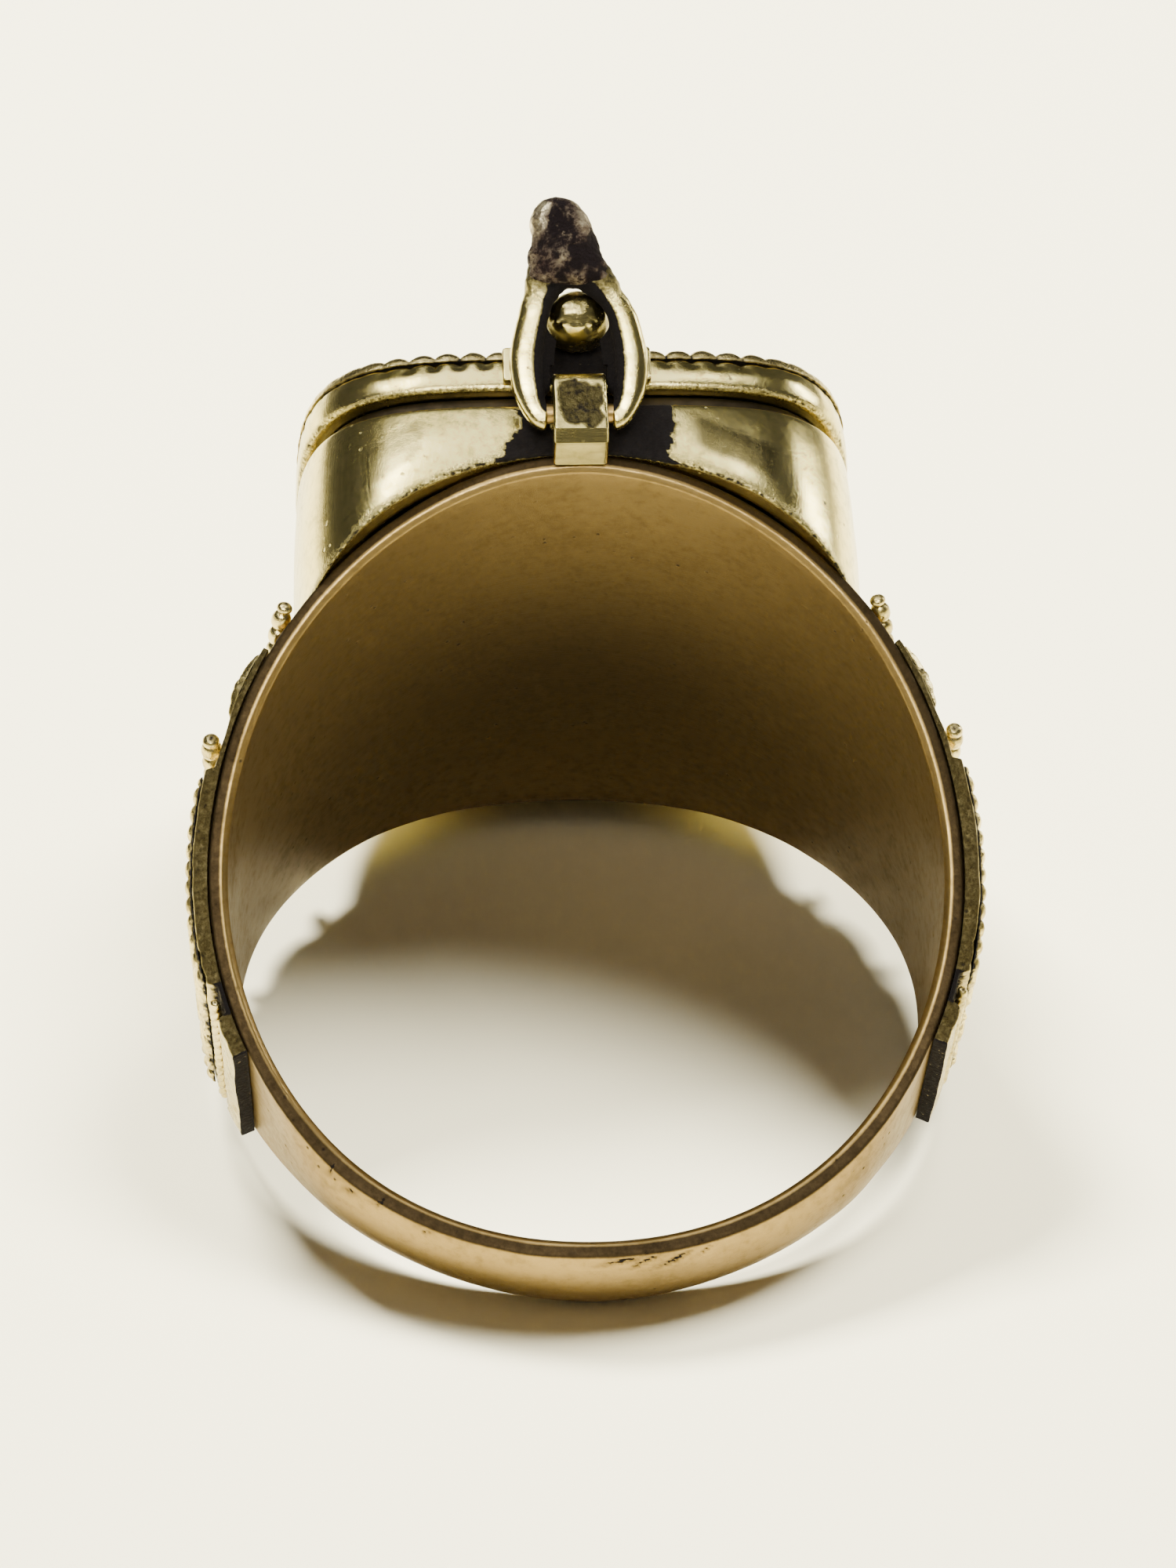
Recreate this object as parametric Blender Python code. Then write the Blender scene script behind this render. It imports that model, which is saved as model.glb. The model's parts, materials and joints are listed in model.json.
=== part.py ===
"""Box signet ring with a hinged lid and a swinging loop clasp, in metres.

The ring is modelled upright: X across the finger, Y along it with the clasp at -Y and the hinge at +Y,
Z towards the head, and the centre of the finger bore at the origin. An empty then lays the whole ring
down on its hinge side, as it lies on a table, touching it with the hinge barrel and the lower shank.
"""

import math

import bmesh
import bpy
import numpy as np
from mathutils import Vector

MM = 0.001

# Finger band. Angles are in degrees from the head, round the finger axis.
BORE_RADIUS = 9.5 * MM
LINER_THICKNESS = 0.5 * MM
BORE_CHAMFER = 0.14 * MM
SHANK_CROWN = 0.35 * MM
CROWN_AFTER, CROWN_SPAN = 2.0, 22.0
HEAD_SETBACK = 0.12 * MM
SIDE_HALF_WIDTH_AT = {45: 7.03 * MM, 90: 3.93 * MM, 135: 1.57 * MM, 180: 1.44 * MM}
BAND_STEPS = 96

# Box on the head: a superellipse in plan.
BOX_HALF_X = 7.85 * MM
BOX_HALF_Y = 8.90 * MM
BOX_SQUARENESS = 4.63
BOX_WALL = 0.70 * MM
BOX_TOP_Z = 11.62 * MM
BOX_LIP = 0.12 * MM
PLAN_STEPS = 96

# Lid: a rim and top plate, with a stepped flange that seats on the box wall and drops inside it.
LID_SETBACK = 0.05 * MM
LID_RIM_WALL = 0.50 * MM
LID_RIM_HEIGHT = 0.95 * MM
LID_PLATE = 0.38 * MM
LID_EDGE = 0.08 * MM
SEAT_HEIGHT = 0.50 * MM
SEAT_SETBACK = 0.50 * MM
FLANGE_WALL = 0.42 * MM
FLANGE_DROP = 0.42 * MM
FLANGE_CLEARANCE = 0.08 * MM
BORDER_WIDTH = 0.62 * MM
BORDER_HEIGHT = 0.40 * MM
BORDER_ROUND_FROM = 0.55
SIGNET_MARGIN = 0.12 * MM
SIGNET_HEIGHT = 0.32 * MM
SIGNET_EDGE = 0.10 * MM

# Hinge on the far side.
BARREL_RADIUS = 1.00 * MM
BARREL_GAP = 0.05 * MM
BARREL_RISE = 0.95 * MM
BARREL_LENGTH = 9.00 * MM
LID_KNUCKLE_LENGTH = 3.84 * MM
LID_KNUCKLE_RELIEF = 0.03 * MM
HINGE_PIN_RADIUS = 0.40 * MM
HINGE_PIN_PROUD = 0.10 * MM
HINGE_LEAF_DROP = 2.30 * MM
HINGE_LEAF_THICKNESS = 0.50 * MM
LID_LEAF_TOP = 0.55 * MM
LID_LEAF_BOTTOM = 0.28 * MM

# Clasp: a bracket on the front wall, a loop on a pin through it, and a ball stud on the lid.
BRACKET_WIDTH = 1.45 * MM
BRACKET_DEPTH = 1.27 * MM
BRACKET_TOP_Z = 11.90 * MM
BRACKET_BOTTOM_Z = 9.57 * MM
BRACKET_ROUND = 0.55 * MM
BRACKET_CHAMFER = 0.28 * MM
CLASP_PIVOT_OUT = 0.70 * MM
CLASP_PIVOT_Z = 10.75 * MM
CLASP_PIN_RADIUS = 0.26 * MM
CLASP_EYE_RADIUS = 0.48 * MM
CLASP_EYE_THICKNESS = 0.40 * MM
LOOP_LEAN = 22.0
LOOP_STRAP = 0.50 * MM
LOOP_DEPTH = 0.62 * MM
LOOP_BELLY_ROOM = 0.46 * MM
LOOP_SHOULDER_ROOM = 0.18 * MM
LOOP_TOP_ROOM = 0.386 * MM
CLASP_BEND = 0.16
CLASP_BEND_FROM = 2.65 * MM
NUB_LENGTH = 1.58 * MM
NUB_HALF_WIDTH = 0.98 * MM
NUB_HALF_DEPTH = 0.60 * MM
NUB_SHIFT = 0.12 * MM
PAD_HALF_WIDTH = 2.00 * MM
PAD_THICKNESS = 0.22 * MM
PAD_RISE = 0.20 * MM
TONGUE_HALF_WIDTH = 0.62 * MM
TONGUE_SLOPE = 0.12 * MM
BALL_RADIUS = 0.82 * MM
BALL_FLATNESS = 0.90
STUD_POST_RADIUS = 0.42 * MM
STUD_POST_LENGTH = 0.04 * MM
BALL_RISE = 0.35 * MM

# Ornament on the shoulders: a thin upper stretch, a thick lower one, and a groove for the foot wire.
# Angles are in degrees down from the shoulder plate's upper end.
SHOULDER_GAP = 0.167 * MM
SHOULDER_SPAN = 59.5
STEP_AFTER, STEP_SLOPE = 17.9, 0.8
SHOULDER_THICKNESS = 0.40 * MM
SHOULDER_UPPER_THICKNESS = 0.17 * MM
SHOULDER_PITCH = 3.4
LEAF_AFTER, LEAF_SPAN = 1.0, 9.3
LEAF_HEIGHT = 0.08 * MM
LEAF_CROWN = 0.16 * MM
BOSS_AFTER = 14.1
BOSS_RADIUS = 0.29 * MM
SCROLL_AFTER, SCROLL_SPAN = 19.4, 28.7
SCROLL_HEIGHT = 0.17 * MM
FOOT_AFTER = 51.1
FOOT_RADIUS = 0.16 * MM
GROOVE_HALF_ANGLE = 1.9
GROOVE_FLOOR = 0.12 * MM
BASE_WIRE_RADIUS = 0.27 * MM
BASE_WIRE_STANDOFF = 0.22 * MM
BASE_WIRE_HALF_LENGTH = 6.85 * MM
ORNAMENT_INSET = 0.10 * MM

# Fits.
SOLDER_GAP = 0.03 * MM
RUNNING_CLEARANCE = 0.04 * MM
SIDE_CLEARANCE = 0.06 * MM

ROUND_STEPS = 20
NUB_STEPS = 16
FOOT_STEPS = 3
WIRE_STEPS = 24

# Places that follow from the sizes above.
LINER_RADIUS = BORE_RADIUS + LINER_THICKNESS
ON_LINER = LINER_RADIUS + SOLDER_GAP
HALF_WIDTH_AT = {0: BOX_HALF_Y - HEAD_SETBACK, **SIDE_HALF_WIDTH_AT}
BASE_WIRE_CENTRE = ON_LINER + BASE_WIRE_RADIUS
BASE_WIRE_X = BOX_HALF_X + BASE_WIRE_STANDOFF + BASE_WIRE_RADIUS
BASE_WIRE_Y = BOX_HALF_Y + BASE_WIRE_STANDOFF + BASE_WIRE_RADIUS
BASE_WIRE_AT = math.degrees(math.asin(BASE_WIRE_X / BASE_WIRE_CENTRE))
SHOULDER_FROM = BASE_WIRE_AT + math.degrees((BASE_WIRE_RADIUS + SHOULDER_GAP) / BASE_WIRE_CENTRE)
SHOULDER_TO = SHOULDER_FROM + SHOULDER_SPAN
CROWN_FROM = SHOULDER_TO + CROWN_AFTER
STEP_AT = SHOULDER_FROM + STEP_AFTER
LEAF_FROM = SHOULDER_FROM + LEAF_AFTER
LEAF_TO = LEAF_FROM + LEAF_SPAN
BOSS_AT = SHOULDER_FROM + BOSS_AFTER
SCROLL_FROM = SHOULDER_FROM + SCROLL_AFTER
SCROLL_TO = SCROLL_FROM + SCROLL_SPAN
FOOT_AT = SHOULDER_FROM + FOOT_AFTER
SEAT_BOTTOM_Z = BOX_TOP_Z + SOLDER_GAP
RIM_BOTTOM_Z = SEAT_BOTTOM_Z + SEAT_HEIGHT + SOLDER_GAP
LID_TOP_Z = RIM_BOTTOM_Z + LID_RIM_HEIGHT
LID_UNDERSIDE_Z = LID_TOP_Z - LID_PLATE
ON_LID_Z = LID_TOP_Z + SOLDER_GAP
LID_REACH_Y = BOX_HALF_Y - LID_SETBACK
BARREL_Y = LID_REACH_Y + BARREL_GAP + BARREL_RADIUS
BARREL_Z = BOX_TOP_Z + BARREL_RISE
CLASP_PIVOT_Y = -(BOX_HALF_Y + CLASP_PIVOT_OUT)
BRACKET_BACK_Y = -(BOX_HALF_Y + SOLDER_GAP)
PAD_BACK_Y = -(LID_REACH_Y + SOLDER_GAP)
PAD_FRONT_Y = PAD_BACK_Y - PAD_THICKNESS
STUD_BACK_Y = PAD_FRONT_Y - SOLDER_GAP
BALL_Y = STUD_BACK_Y - STUD_POST_LENGTH - math.sqrt(BALL_RADIUS**2 - STUD_POST_RADIUS**2)
BALL_Z = LID_TOP_Z + BALL_RISE
LEAN = math.radians(LOOP_LEAN)
BALL_ALONG = (CLASP_PIVOT_Y - BALL_Y) * math.sin(LEAN) + (BALL_Z - CLASP_PIVOT_Z) * math.cos(LEAN)
LOOP_BELLY = BALL_RADIUS + LOOP_STRAP / 2 + LOOP_BELLY_ROOM
LOOP_SHOULDER = BALL_RADIUS + LOOP_SHOULDER_ROOM
LOOP_TOP = BALL_ALONG + BALL_RADIUS + LOOP_STRAP / 2 + LOOP_TOP_ROOM
EYE_INNER_X = BRACKET_WIDTH / 2 + SIDE_CLEARANCE
EYE_OUTER_X = EYE_INNER_X + CLASP_EYE_THICKNESS

YELLOW_BRASS = (0.66, 0.52, 0.25)
POLISHED_BRASS = (0.78, 0.68, 0.38)
DARK_BRASS = (0.30, 0.23, 0.11)


def smooth_step(value):
    value = np.clip(value, 0.0, 1.0)
    return value * value * (3 - 2 * value)


def band_half_width(theta):
    """Half the band's width at an angle: a smooth curve through the named widths, level at head and foot."""
    angles = sorted(HALF_WIDTH_AT)
    widths = [HALF_WIDTH_AT[angle] for angle in angles]
    slopes = [0.0]
    for i in range(1, len(angles) - 1):
        slopes.append((widths[i + 1] - widths[i - 1]) / (angles[i + 1] - angles[i - 1]))
    slopes.append(0.0)
    theta = abs((theta + 180.0) % 360.0 - 180.0)
    index = max(i for i in range(len(angles) - 1) if angles[i] <= theta)
    span = angles[index + 1] - angles[index]
    t = (theta - angles[index]) / span
    start = widths[index] * (1 + 2 * t) * (1 - t) ** 2 + slopes[index] * span * t * (1 - t) ** 2
    end = widths[index + 1] * t * t * (3 - 2 * t) + slopes[index + 1] * span * t * t * (t - 1)
    return start + end


def on_band(theta, radius, y, side=1):
    """The point at an angle from the head and a radius from the finger axis. side -1 mirrors it to the left."""
    angle = math.radians(theta)
    return (side * radius * math.sin(angle), y, radius * math.cos(angle))


def plan_point(step, inset):
    """A point of the box's plan outline, moved in by inset, at one of PLAN_STEPS even angles."""
    angle = 2 * math.pi * step / PLAN_STEPS
    half_x, half_y = BOX_HALF_X - inset, BOX_HALF_Y - inset
    power = BOX_SQUARENESS
    across, along = abs(math.cos(angle) / half_x), abs(math.sin(angle) / half_y)
    reach = (across**power + along**power) ** (-1 / power)
    return reach * math.cos(angle), reach * math.sin(angle)


def empty(name, location, parent=None):
    holder = bpy.data.objects.new(name, None)
    bpy.context.collection.objects.link(holder)
    holder.parent = parent
    holder.location = Vector(location) - (place_of(parent) if parent else Vector())
    return holder


def place_of(holder):
    """Where an empty stands in the upright ring, before the ring is laid down."""
    place = Vector()
    while holder is not None and holder is not ring:
        place += holder.location
        holder = holder.parent
    return place


def metal(name, colour, roughness):
    material = bpy.data.materials.new(name)
    material.use_nodes = True
    shader = material.node_tree.nodes["Principled BSDF"]
    shader.inputs["Base Color"].default_value = (*colour, 1.0)
    shader.inputs["Metallic"].default_value = 1.0
    shader.inputs["Roughness"].default_value = roughness
    material.diffuse_color = (*colour, 1.0)
    return material


def add_part(name, points, faces, parent, colour=YELLOW_BRASS, roughness=0.3, sharp=32.0):
    """One closed body from points of the upright ring, held by an empty."""
    mesh = bpy.data.meshes.new(name)
    mesh.from_pydata([Vector(point) - place_of(parent) for point in points], [], faces)
    body = bmesh.new()
    body.from_mesh(mesh)
    bmesh.ops.recalc_face_normals(body, faces=body.faces)
    body.to_mesh(mesh)
    body.free()
    mesh.shade_smooth()
    mesh.set_sharp_from_angle(angle=math.radians(sharp))
    part = bpy.data.objects.new(name, mesh)
    bpy.context.collection.objects.link(part)
    part.parent = parent
    mesh.materials.append(metal(name, colour, roughness))
    return part


def skin(loops, round_again):
    """Points and faces between loops of equal length. The end loops are capped unless they meet."""
    count = len(loops[0])
    points = [point for loop in loops for point in loop]
    faces = []
    for i in range(len(loops) if round_again else len(loops) - 1):
        here, there = i * count, (i + 1) % len(loops) * count
        for j in range(count):
            k = (j + 1) % count
            faces.append((here + j, here + k, there + k, there + j))
    if not round_again:
        faces.append(tuple(range(count))[::-1])
        faces.append(tuple(range((len(loops) - 1) * count, len(loops) * count)))
    return points, faces


def band_strip(start, end, steps, section, side):
    """Loops along the band between two angles. section gives (radius, y) points at an angle."""
    thetas = [start + (end - start) * i / steps for i in range(steps + 1)]
    return skin([[on_band(theta, r, y, side) for r, y in section(theta)] for theta in thetas], False)


def plan_ring(profile):
    """A closed ring that follows the plan outline. profile is a closed loop of (inset, z)."""
    loops = [[(*plan_point(step, inset), z) for inset, z in profile] for step in range(PLAN_STEPS)]
    return skin(loops, True)


def plan_stack(profile):
    """A capped plate or tray: one plan outline for each (inset, z), from one cap round to the other."""
    loops = [[(*plan_point(step, inset), z) for step in range(PLAN_STEPS)] for inset, z in profile]
    return skin(loops, False)


def eye_plate(outline, centre, hole_radius, x_from, x_to):
    """A plate across X with a round hole. outline lists (y, z) points, once round the hole's centre."""
    rim = []
    for (y0, z0), (y1, z1) in zip(outline, outline[1:] + outline[:1]):
        turn = math.atan2(z1 - centre[1], y1 - centre[0]) - math.atan2(z0 - centre[1], y0 - centre[0])
        turn = (turn + math.pi) % (2 * math.pi) - math.pi
        pieces = max(1, math.ceil(abs(turn) / math.radians(24)))
        rim += [(y0 + (y1 - y0) * i / pieces, z0 + (z1 - z0) * i / pieces) for i in range(pieces)]
    hole = []
    for y, z in rim:
        away = Vector((y - centre[0], z - centre[1])).normalized() * hole_radius
        hole.append((centre[0] + away.x, centre[1] + away.y))
    rings = ((rim, x_from), (rim, x_to), (hole, x_to), (hole, x_from))
    loops = [[(x, y, z) for y, z in loop] for loop, x in rings]
    return skin(loops, True)


def arc(centre, radius, start, end, steps):
    """Points of a round stretch, from one angle to another in degrees."""
    angles = [math.radians(start + (end - start) * i / steps) for i in range(steps + 1)]
    return [(centre[0] + radius * math.cos(a), centre[1] + radius * math.sin(a)) for a in angles]


def cross_rod(centre, radius, x_from, x_to):
    """A rod along X with slightly rounded ends, round the (y, z) of its axis."""
    edge = radius * 0.2
    stations = [(x_from, radius - edge), (x_from + edge, radius)]
    stations += [(x_to - edge, radius), (x_to, radius - edge)]
    loops = []
    for x, reach in stations:
        ring_points = arc(centre, reach, 0, 360 - 360 / ROUND_STEPS, ROUND_STEPS - 1)
        loops.append([(x, y, z) for y, z in ring_points])
    return skin(loops, False)


def wire(route, radius, sides=8):
    """A round wire along a list of points, capped at both ends."""
    route = [Vector(point) for point in route]
    loops = []
    for i, point in enumerate(route):
        along = (route[min(i + 1, len(route) - 1)] - route[max(i - 1, 0)]).normalized()
        out = Vector((point.x, 0, point.z)).normalized()
        across = along.cross(out).normalized()
        out = across.cross(along)
        turns = [2 * math.pi * (k + 0.5) / sides for k in range(sides)]
        loops.append([tuple(point + radius * (math.cos(a) * out + math.sin(a) * across)) for a in turns])
    return skin(loops, False)


def make_hoop():
    def section(theta):
        half = band_half_width(theta)
        turned = abs((theta + 180.0) % 360.0 - 180.0)
        crown = SHANK_CROWN * float(smooth_step((turned - CROWN_FROM) / CROWN_SPAN))
        inner = [(BORE_RADIUS + BORE_CHAMFER, -half), (BORE_RADIUS, BORE_CHAMFER - half)]
        inner += [(r, -y) for r, y in reversed(inner)]
        outer = [(LINER_RADIUS + crown * (1 - t * t), t * half) for t in (1, 0.55, 0, -0.55, -1)]
        return inner + outer

    thetas = [360.0 * i / BAND_STEPS for i in range(BAND_STEPS)]
    points, faces = skin([[on_band(theta, r, y) for r, y in section(theta)] for theta in thetas], True)
    add_part("hoop", points, faces, ring, YELLOW_BRASS, 0.32)


def make_box():
    """The box wall: its foot is cut to sit on the round liner."""
    loops = []
    for step in range(PLAN_STEPS):
        outer, inner = plan_point(step, 0.0), plan_point(step, BOX_WALL)
        foot = []
        for i in range(FOOT_STEPS + 1):
            x, y = plan_point(step, BOX_WALL * (1 - i / FOOT_STEPS))
            foot.append((x, y, math.sqrt(ON_LINER**2 - x * x)))
        lip_out, lip_in = plan_point(step, BOX_LIP), plan_point(step, BOX_WALL - BOX_LIP)
        edge = BOX_TOP_Z - BOX_LIP
        loops.append([*foot, (*outer, edge), (*lip_out, BOX_TOP_Z), (*lip_in, BOX_TOP_Z), (*inner, edge)])
    add_part("box_wall", *skin(loops, True), ring, POLISHED_BRASS, 0.15)


def shoulder_stations():
    """(angle, thickness) pairs down the shoulder plate: where its surface changes, and even steps between."""
    thin, full = SHOULDER_UPPER_THICKNESS, SHOULDER_THICKNESS
    groove_from, groove_to = FOOT_AT - GROOVE_HALF_ANGLE, FOOT_AT + GROOVE_HALF_ANGLE
    corners = [(SHOULDER_FROM, thin), (STEP_AT, thin), (STEP_AT + STEP_SLOPE, full)]
    corners += [(groove_from - STEP_SLOPE, full), (groove_from, GROOVE_FLOOR)]
    corners += [(groove_to, GROOVE_FLOOR), (groove_to + STEP_SLOPE, full), (SHOULDER_TO, full)]
    stations = [corners[0]]
    for (start, low), (end, high) in zip(corners, corners[1:]):
        pieces = math.ceil((end - start) / SHOULDER_PITCH)
        for i in range(1, pieces + 1):
            stations.append((start + (end - start) * i / pieces, low + (high - low) * i / pieces))
    return stations


def make_shoulder(side, word):
    loops = []
    for theta, thickness in shoulder_stations():
        half = band_half_width(theta)
        top = ON_LINER + thickness
        corners = [(ON_LINER, -half), (ON_LINER, half), (top, half), (top, -half)]
        loops.append([on_band(theta, r, y, side) for r, y in corners])
    add_part(f"shoulder_{word}", *skin(loops, False), ring)

    def raised(start, end, foot, height, crown):
        """A pad on the plate, higher in its middle by crown."""

        def section(theta):
            half = band_half_width(theta) - ORNAMENT_INSET
            bottom = ON_LINER + foot + SOLDER_GAP
            top = bottom + height + crown * math.sin(math.pi * (theta - start) / (end - start))
            return [(bottom, -half), (bottom, half), (top, half), (top, -half)]

        return band_strip(start, end, math.ceil((end - start) / SHOULDER_PITCH) + 1, section, side)

    def rod(theta, foot, radius):
        centre = ON_LINER + foot + SOLDER_GAP + radius
        reach = band_half_width(theta) - ORNAMENT_INSET
        return wire([on_band(theta, centre, y, side) for y in (-reach, 0.0, reach)], radius, 10)

    leaf = raised(LEAF_FROM, LEAF_TO, SHOULDER_UPPER_THICKNESS, LEAF_HEIGHT, LEAF_CROWN)
    scroll = raised(SCROLL_FROM, SCROLL_TO, SHOULDER_THICKNESS, SCROLL_HEIGHT, 0.0)
    add_part(f"leaf_{word}", *leaf, ring, POLISHED_BRASS)
    add_part(f"scroll_panel_{word}", *scroll, ring)
    boss = rod(BOSS_AT, SHOULDER_UPPER_THICKNESS, BOSS_RADIUS)
    add_part(f"boss_wire_{word}", *boss, ring, POLISHED_BRASS)
    add_part(f"foot_wire_{word}", *rod(FOOT_AT, GROOVE_FLOOR, FOOT_RADIUS), ring, POLISHED_BRASS)


def make_base_wire(side, word):
    """A wire along the foot of the box's side, lying on the liner close to the wall."""
    route = []
    for i in range(WIRE_STEPS + 1):
        y = BASE_WIRE_HALF_LENGTH * (2 * i / WIRE_STEPS - 1)
        x = BASE_WIRE_X * (1 - abs(y / BASE_WIRE_Y) ** BOX_SQUARENESS) ** (1 / BOX_SQUARENESS)
        route.append((side * x, y, math.sqrt(BASE_WIRE_CENTRE**2 - x * x)))
    add_part(f"base_wire_{word}", *wire(route, BASE_WIRE_RADIUS), ring, POLISHED_BRASS)


def make_lid():
    rim_inner = LID_SETBACK + LID_RIM_WALL
    tray = [
        (LID_SETBACK + LID_EDGE, LID_TOP_Z),
        (LID_SETBACK, LID_TOP_Z - LID_EDGE),
        (LID_SETBACK, RIM_BOTTOM_Z + LID_EDGE),
        (LID_SETBACK + LID_EDGE, RIM_BOTTOM_Z),
        (rim_inner, RIM_BOTTOM_Z),
        (rim_inner, LID_UNDERSIDE_Z),
    ]
    add_part("lid_cap", *plan_stack(tray), lid_axis, POLISHED_BRASS, 0.2)

    lip_outer = BOX_WALL + FLANGE_CLEARANCE
    lip_inner = lip_outer + FLANGE_WALL
    flange = [
        (lip_inner, BOX_TOP_Z - FLANGE_DROP),
        (lip_outer, BOX_TOP_Z - FLANGE_DROP),
        (lip_outer, SEAT_BOTTOM_Z),
        (SEAT_SETBACK, SEAT_BOTTOM_Z),
        (SEAT_SETBACK, SEAT_BOTTOM_Z + SEAT_HEIGHT),
        (lip_outer, SEAT_BOTTOM_Z + SEAT_HEIGHT),
        (lip_outer, LID_UNDERSIDE_Z - SOLDER_GAP),
        (lip_inner, LID_UNDERSIDE_Z - SOLDER_GAP),
    ]
    add_part("lid_flange", *plan_ring(flange), lid_axis, DARK_BRASS, 0.4)

    outer, inner = LID_SETBACK + LID_EDGE / 2, LID_SETBACK + LID_EDGE / 2 + BORDER_WIDTH
    middle, crest = (outer + inner) / 2, ON_LID_Z + BORDER_HEIGHT
    border = [
        (inner, ON_LID_Z),
        (outer, ON_LID_Z),
        (outer, ON_LID_Z + BORDER_HEIGHT * BORDER_ROUND_FROM),
        ((outer + middle) / 2, crest),
        ((inner + middle) / 2, crest),
        (inner, ON_LID_Z + BORDER_HEIGHT * BORDER_ROUND_FROM),
    ]
    add_part("beaded_border", *plan_ring(border), lid_axis, POLISHED_BRASS, 0.25)

    edge = inner + SIGNET_MARGIN
    top = ON_LID_Z + SIGNET_HEIGHT
    plate = [(edge, ON_LID_Z), (edge, top - SIGNET_EDGE), (edge + SIGNET_EDGE, top)]
    add_part("signet_plate", *plan_stack(plate), lid_axis, POLISHED_BRASS, 0.2)


def make_hinge():
    centre = (BARREL_Y, BARREL_Z)
    hole = HINGE_PIN_RADIUS + RUNNING_CLEARANCE
    half = BARREL_LENGTH / 2
    lid_half = LID_KNUCKLE_LENGTH / 2

    leaf_back = BOX_HALF_Y + SOLDER_GAP
    leaf_foot = BARREL_Z - HINGE_LEAF_DROP
    leaf_front = leaf_back + HINGE_LEAF_THICKNESS
    fixed = arc(centre, BARREL_RADIUS, 0, 190, 10) + [(leaf_back, BARREL_Z - BARREL_RADIUS * 0.9)]
    fixed += [(leaf_back, leaf_foot), (leaf_front, leaf_foot)] + arc(centre, BARREL_RADIUS, 300, 342, 2)
    for side, word in ((-1, "left"), (1, "right")):
        ends = sorted((side * half, side * (lid_half + SIDE_CLEARANCE)))
        add_part(f"hinge_knuckle_{word}", *eye_plate(fixed, centre, hole, *ends), ring)

    reach = BARREL_RADIUS - LID_KNUCKLE_RELIEF
    top_angle = math.degrees(math.asin(LID_LEAF_TOP / reach))
    bottom_angle = math.degrees(math.asin(LID_LEAF_BOTTOM / reach))
    leaf_end = LID_REACH_Y + SOLDER_GAP
    moving = arc(centre, reach, bottom_angle - 180, 180 - top_angle, 12)
    moving += [(leaf_end, BARREL_Z + LID_LEAF_TOP), (leaf_end, BARREL_Z - LID_LEAF_BOTTOM)]
    add_part("lid_knuckle", *eye_plate(moving, centre, hole, -lid_half, lid_half), lid_axis)

    pin_half = half + HINGE_PIN_PROUD
    add_part("hinge_pin", *cross_rod(centre, HINGE_PIN_RADIUS, -pin_half, pin_half), ring, POLISHED_BRASS)


def make_bracket():
    centre = (CLASP_PIVOT_Y, CLASP_PIVOT_Z)
    front = BRACKET_BACK_Y - BRACKET_DEPTH
    corner = (front + BRACKET_ROUND, BRACKET_TOP_Z - BRACKET_ROUND)
    outline = [(BRACKET_BACK_Y, BRACKET_BOTTOM_Z), (BRACKET_BACK_Y, BRACKET_TOP_Z)]
    outline += arc(corner, BRACKET_ROUND, 90, 180, 6)
    outline += [(front, BRACKET_BOTTOM_Z + BRACKET_CHAMFER), (front + BRACKET_CHAMFER, BRACKET_BOTTOM_Z)]
    hole = CLASP_PIN_RADIUS + RUNNING_CLEARANCE
    half = BRACKET_WIDTH / 2
    add_part("clasp_bracket", *eye_plate(outline, centre, hole, -half, half), ring, POLISHED_BRASS, 0.2)
    pin = cross_rod(centre, CLASP_PIN_RADIUS, -EYE_OUTER_X, EYE_OUTER_X)
    add_part("clasp_pivot_pin", *pin, ring)


def on_loop(x, along, out):
    """A point of the clasp: along its length from the pivot, and out from its plane, away from the lid.

    The far end is bent a little to the left."""
    x -= CLASP_BEND * max(0.0, along - CLASP_BEND_FROM)
    y = CLASP_PIVOT_Y - along * math.sin(LEAN) - out * math.cos(LEAN)
    return (x, y, CLASP_PIVOT_Z + along * math.cos(LEAN) - out * math.sin(LEAN))


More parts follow.
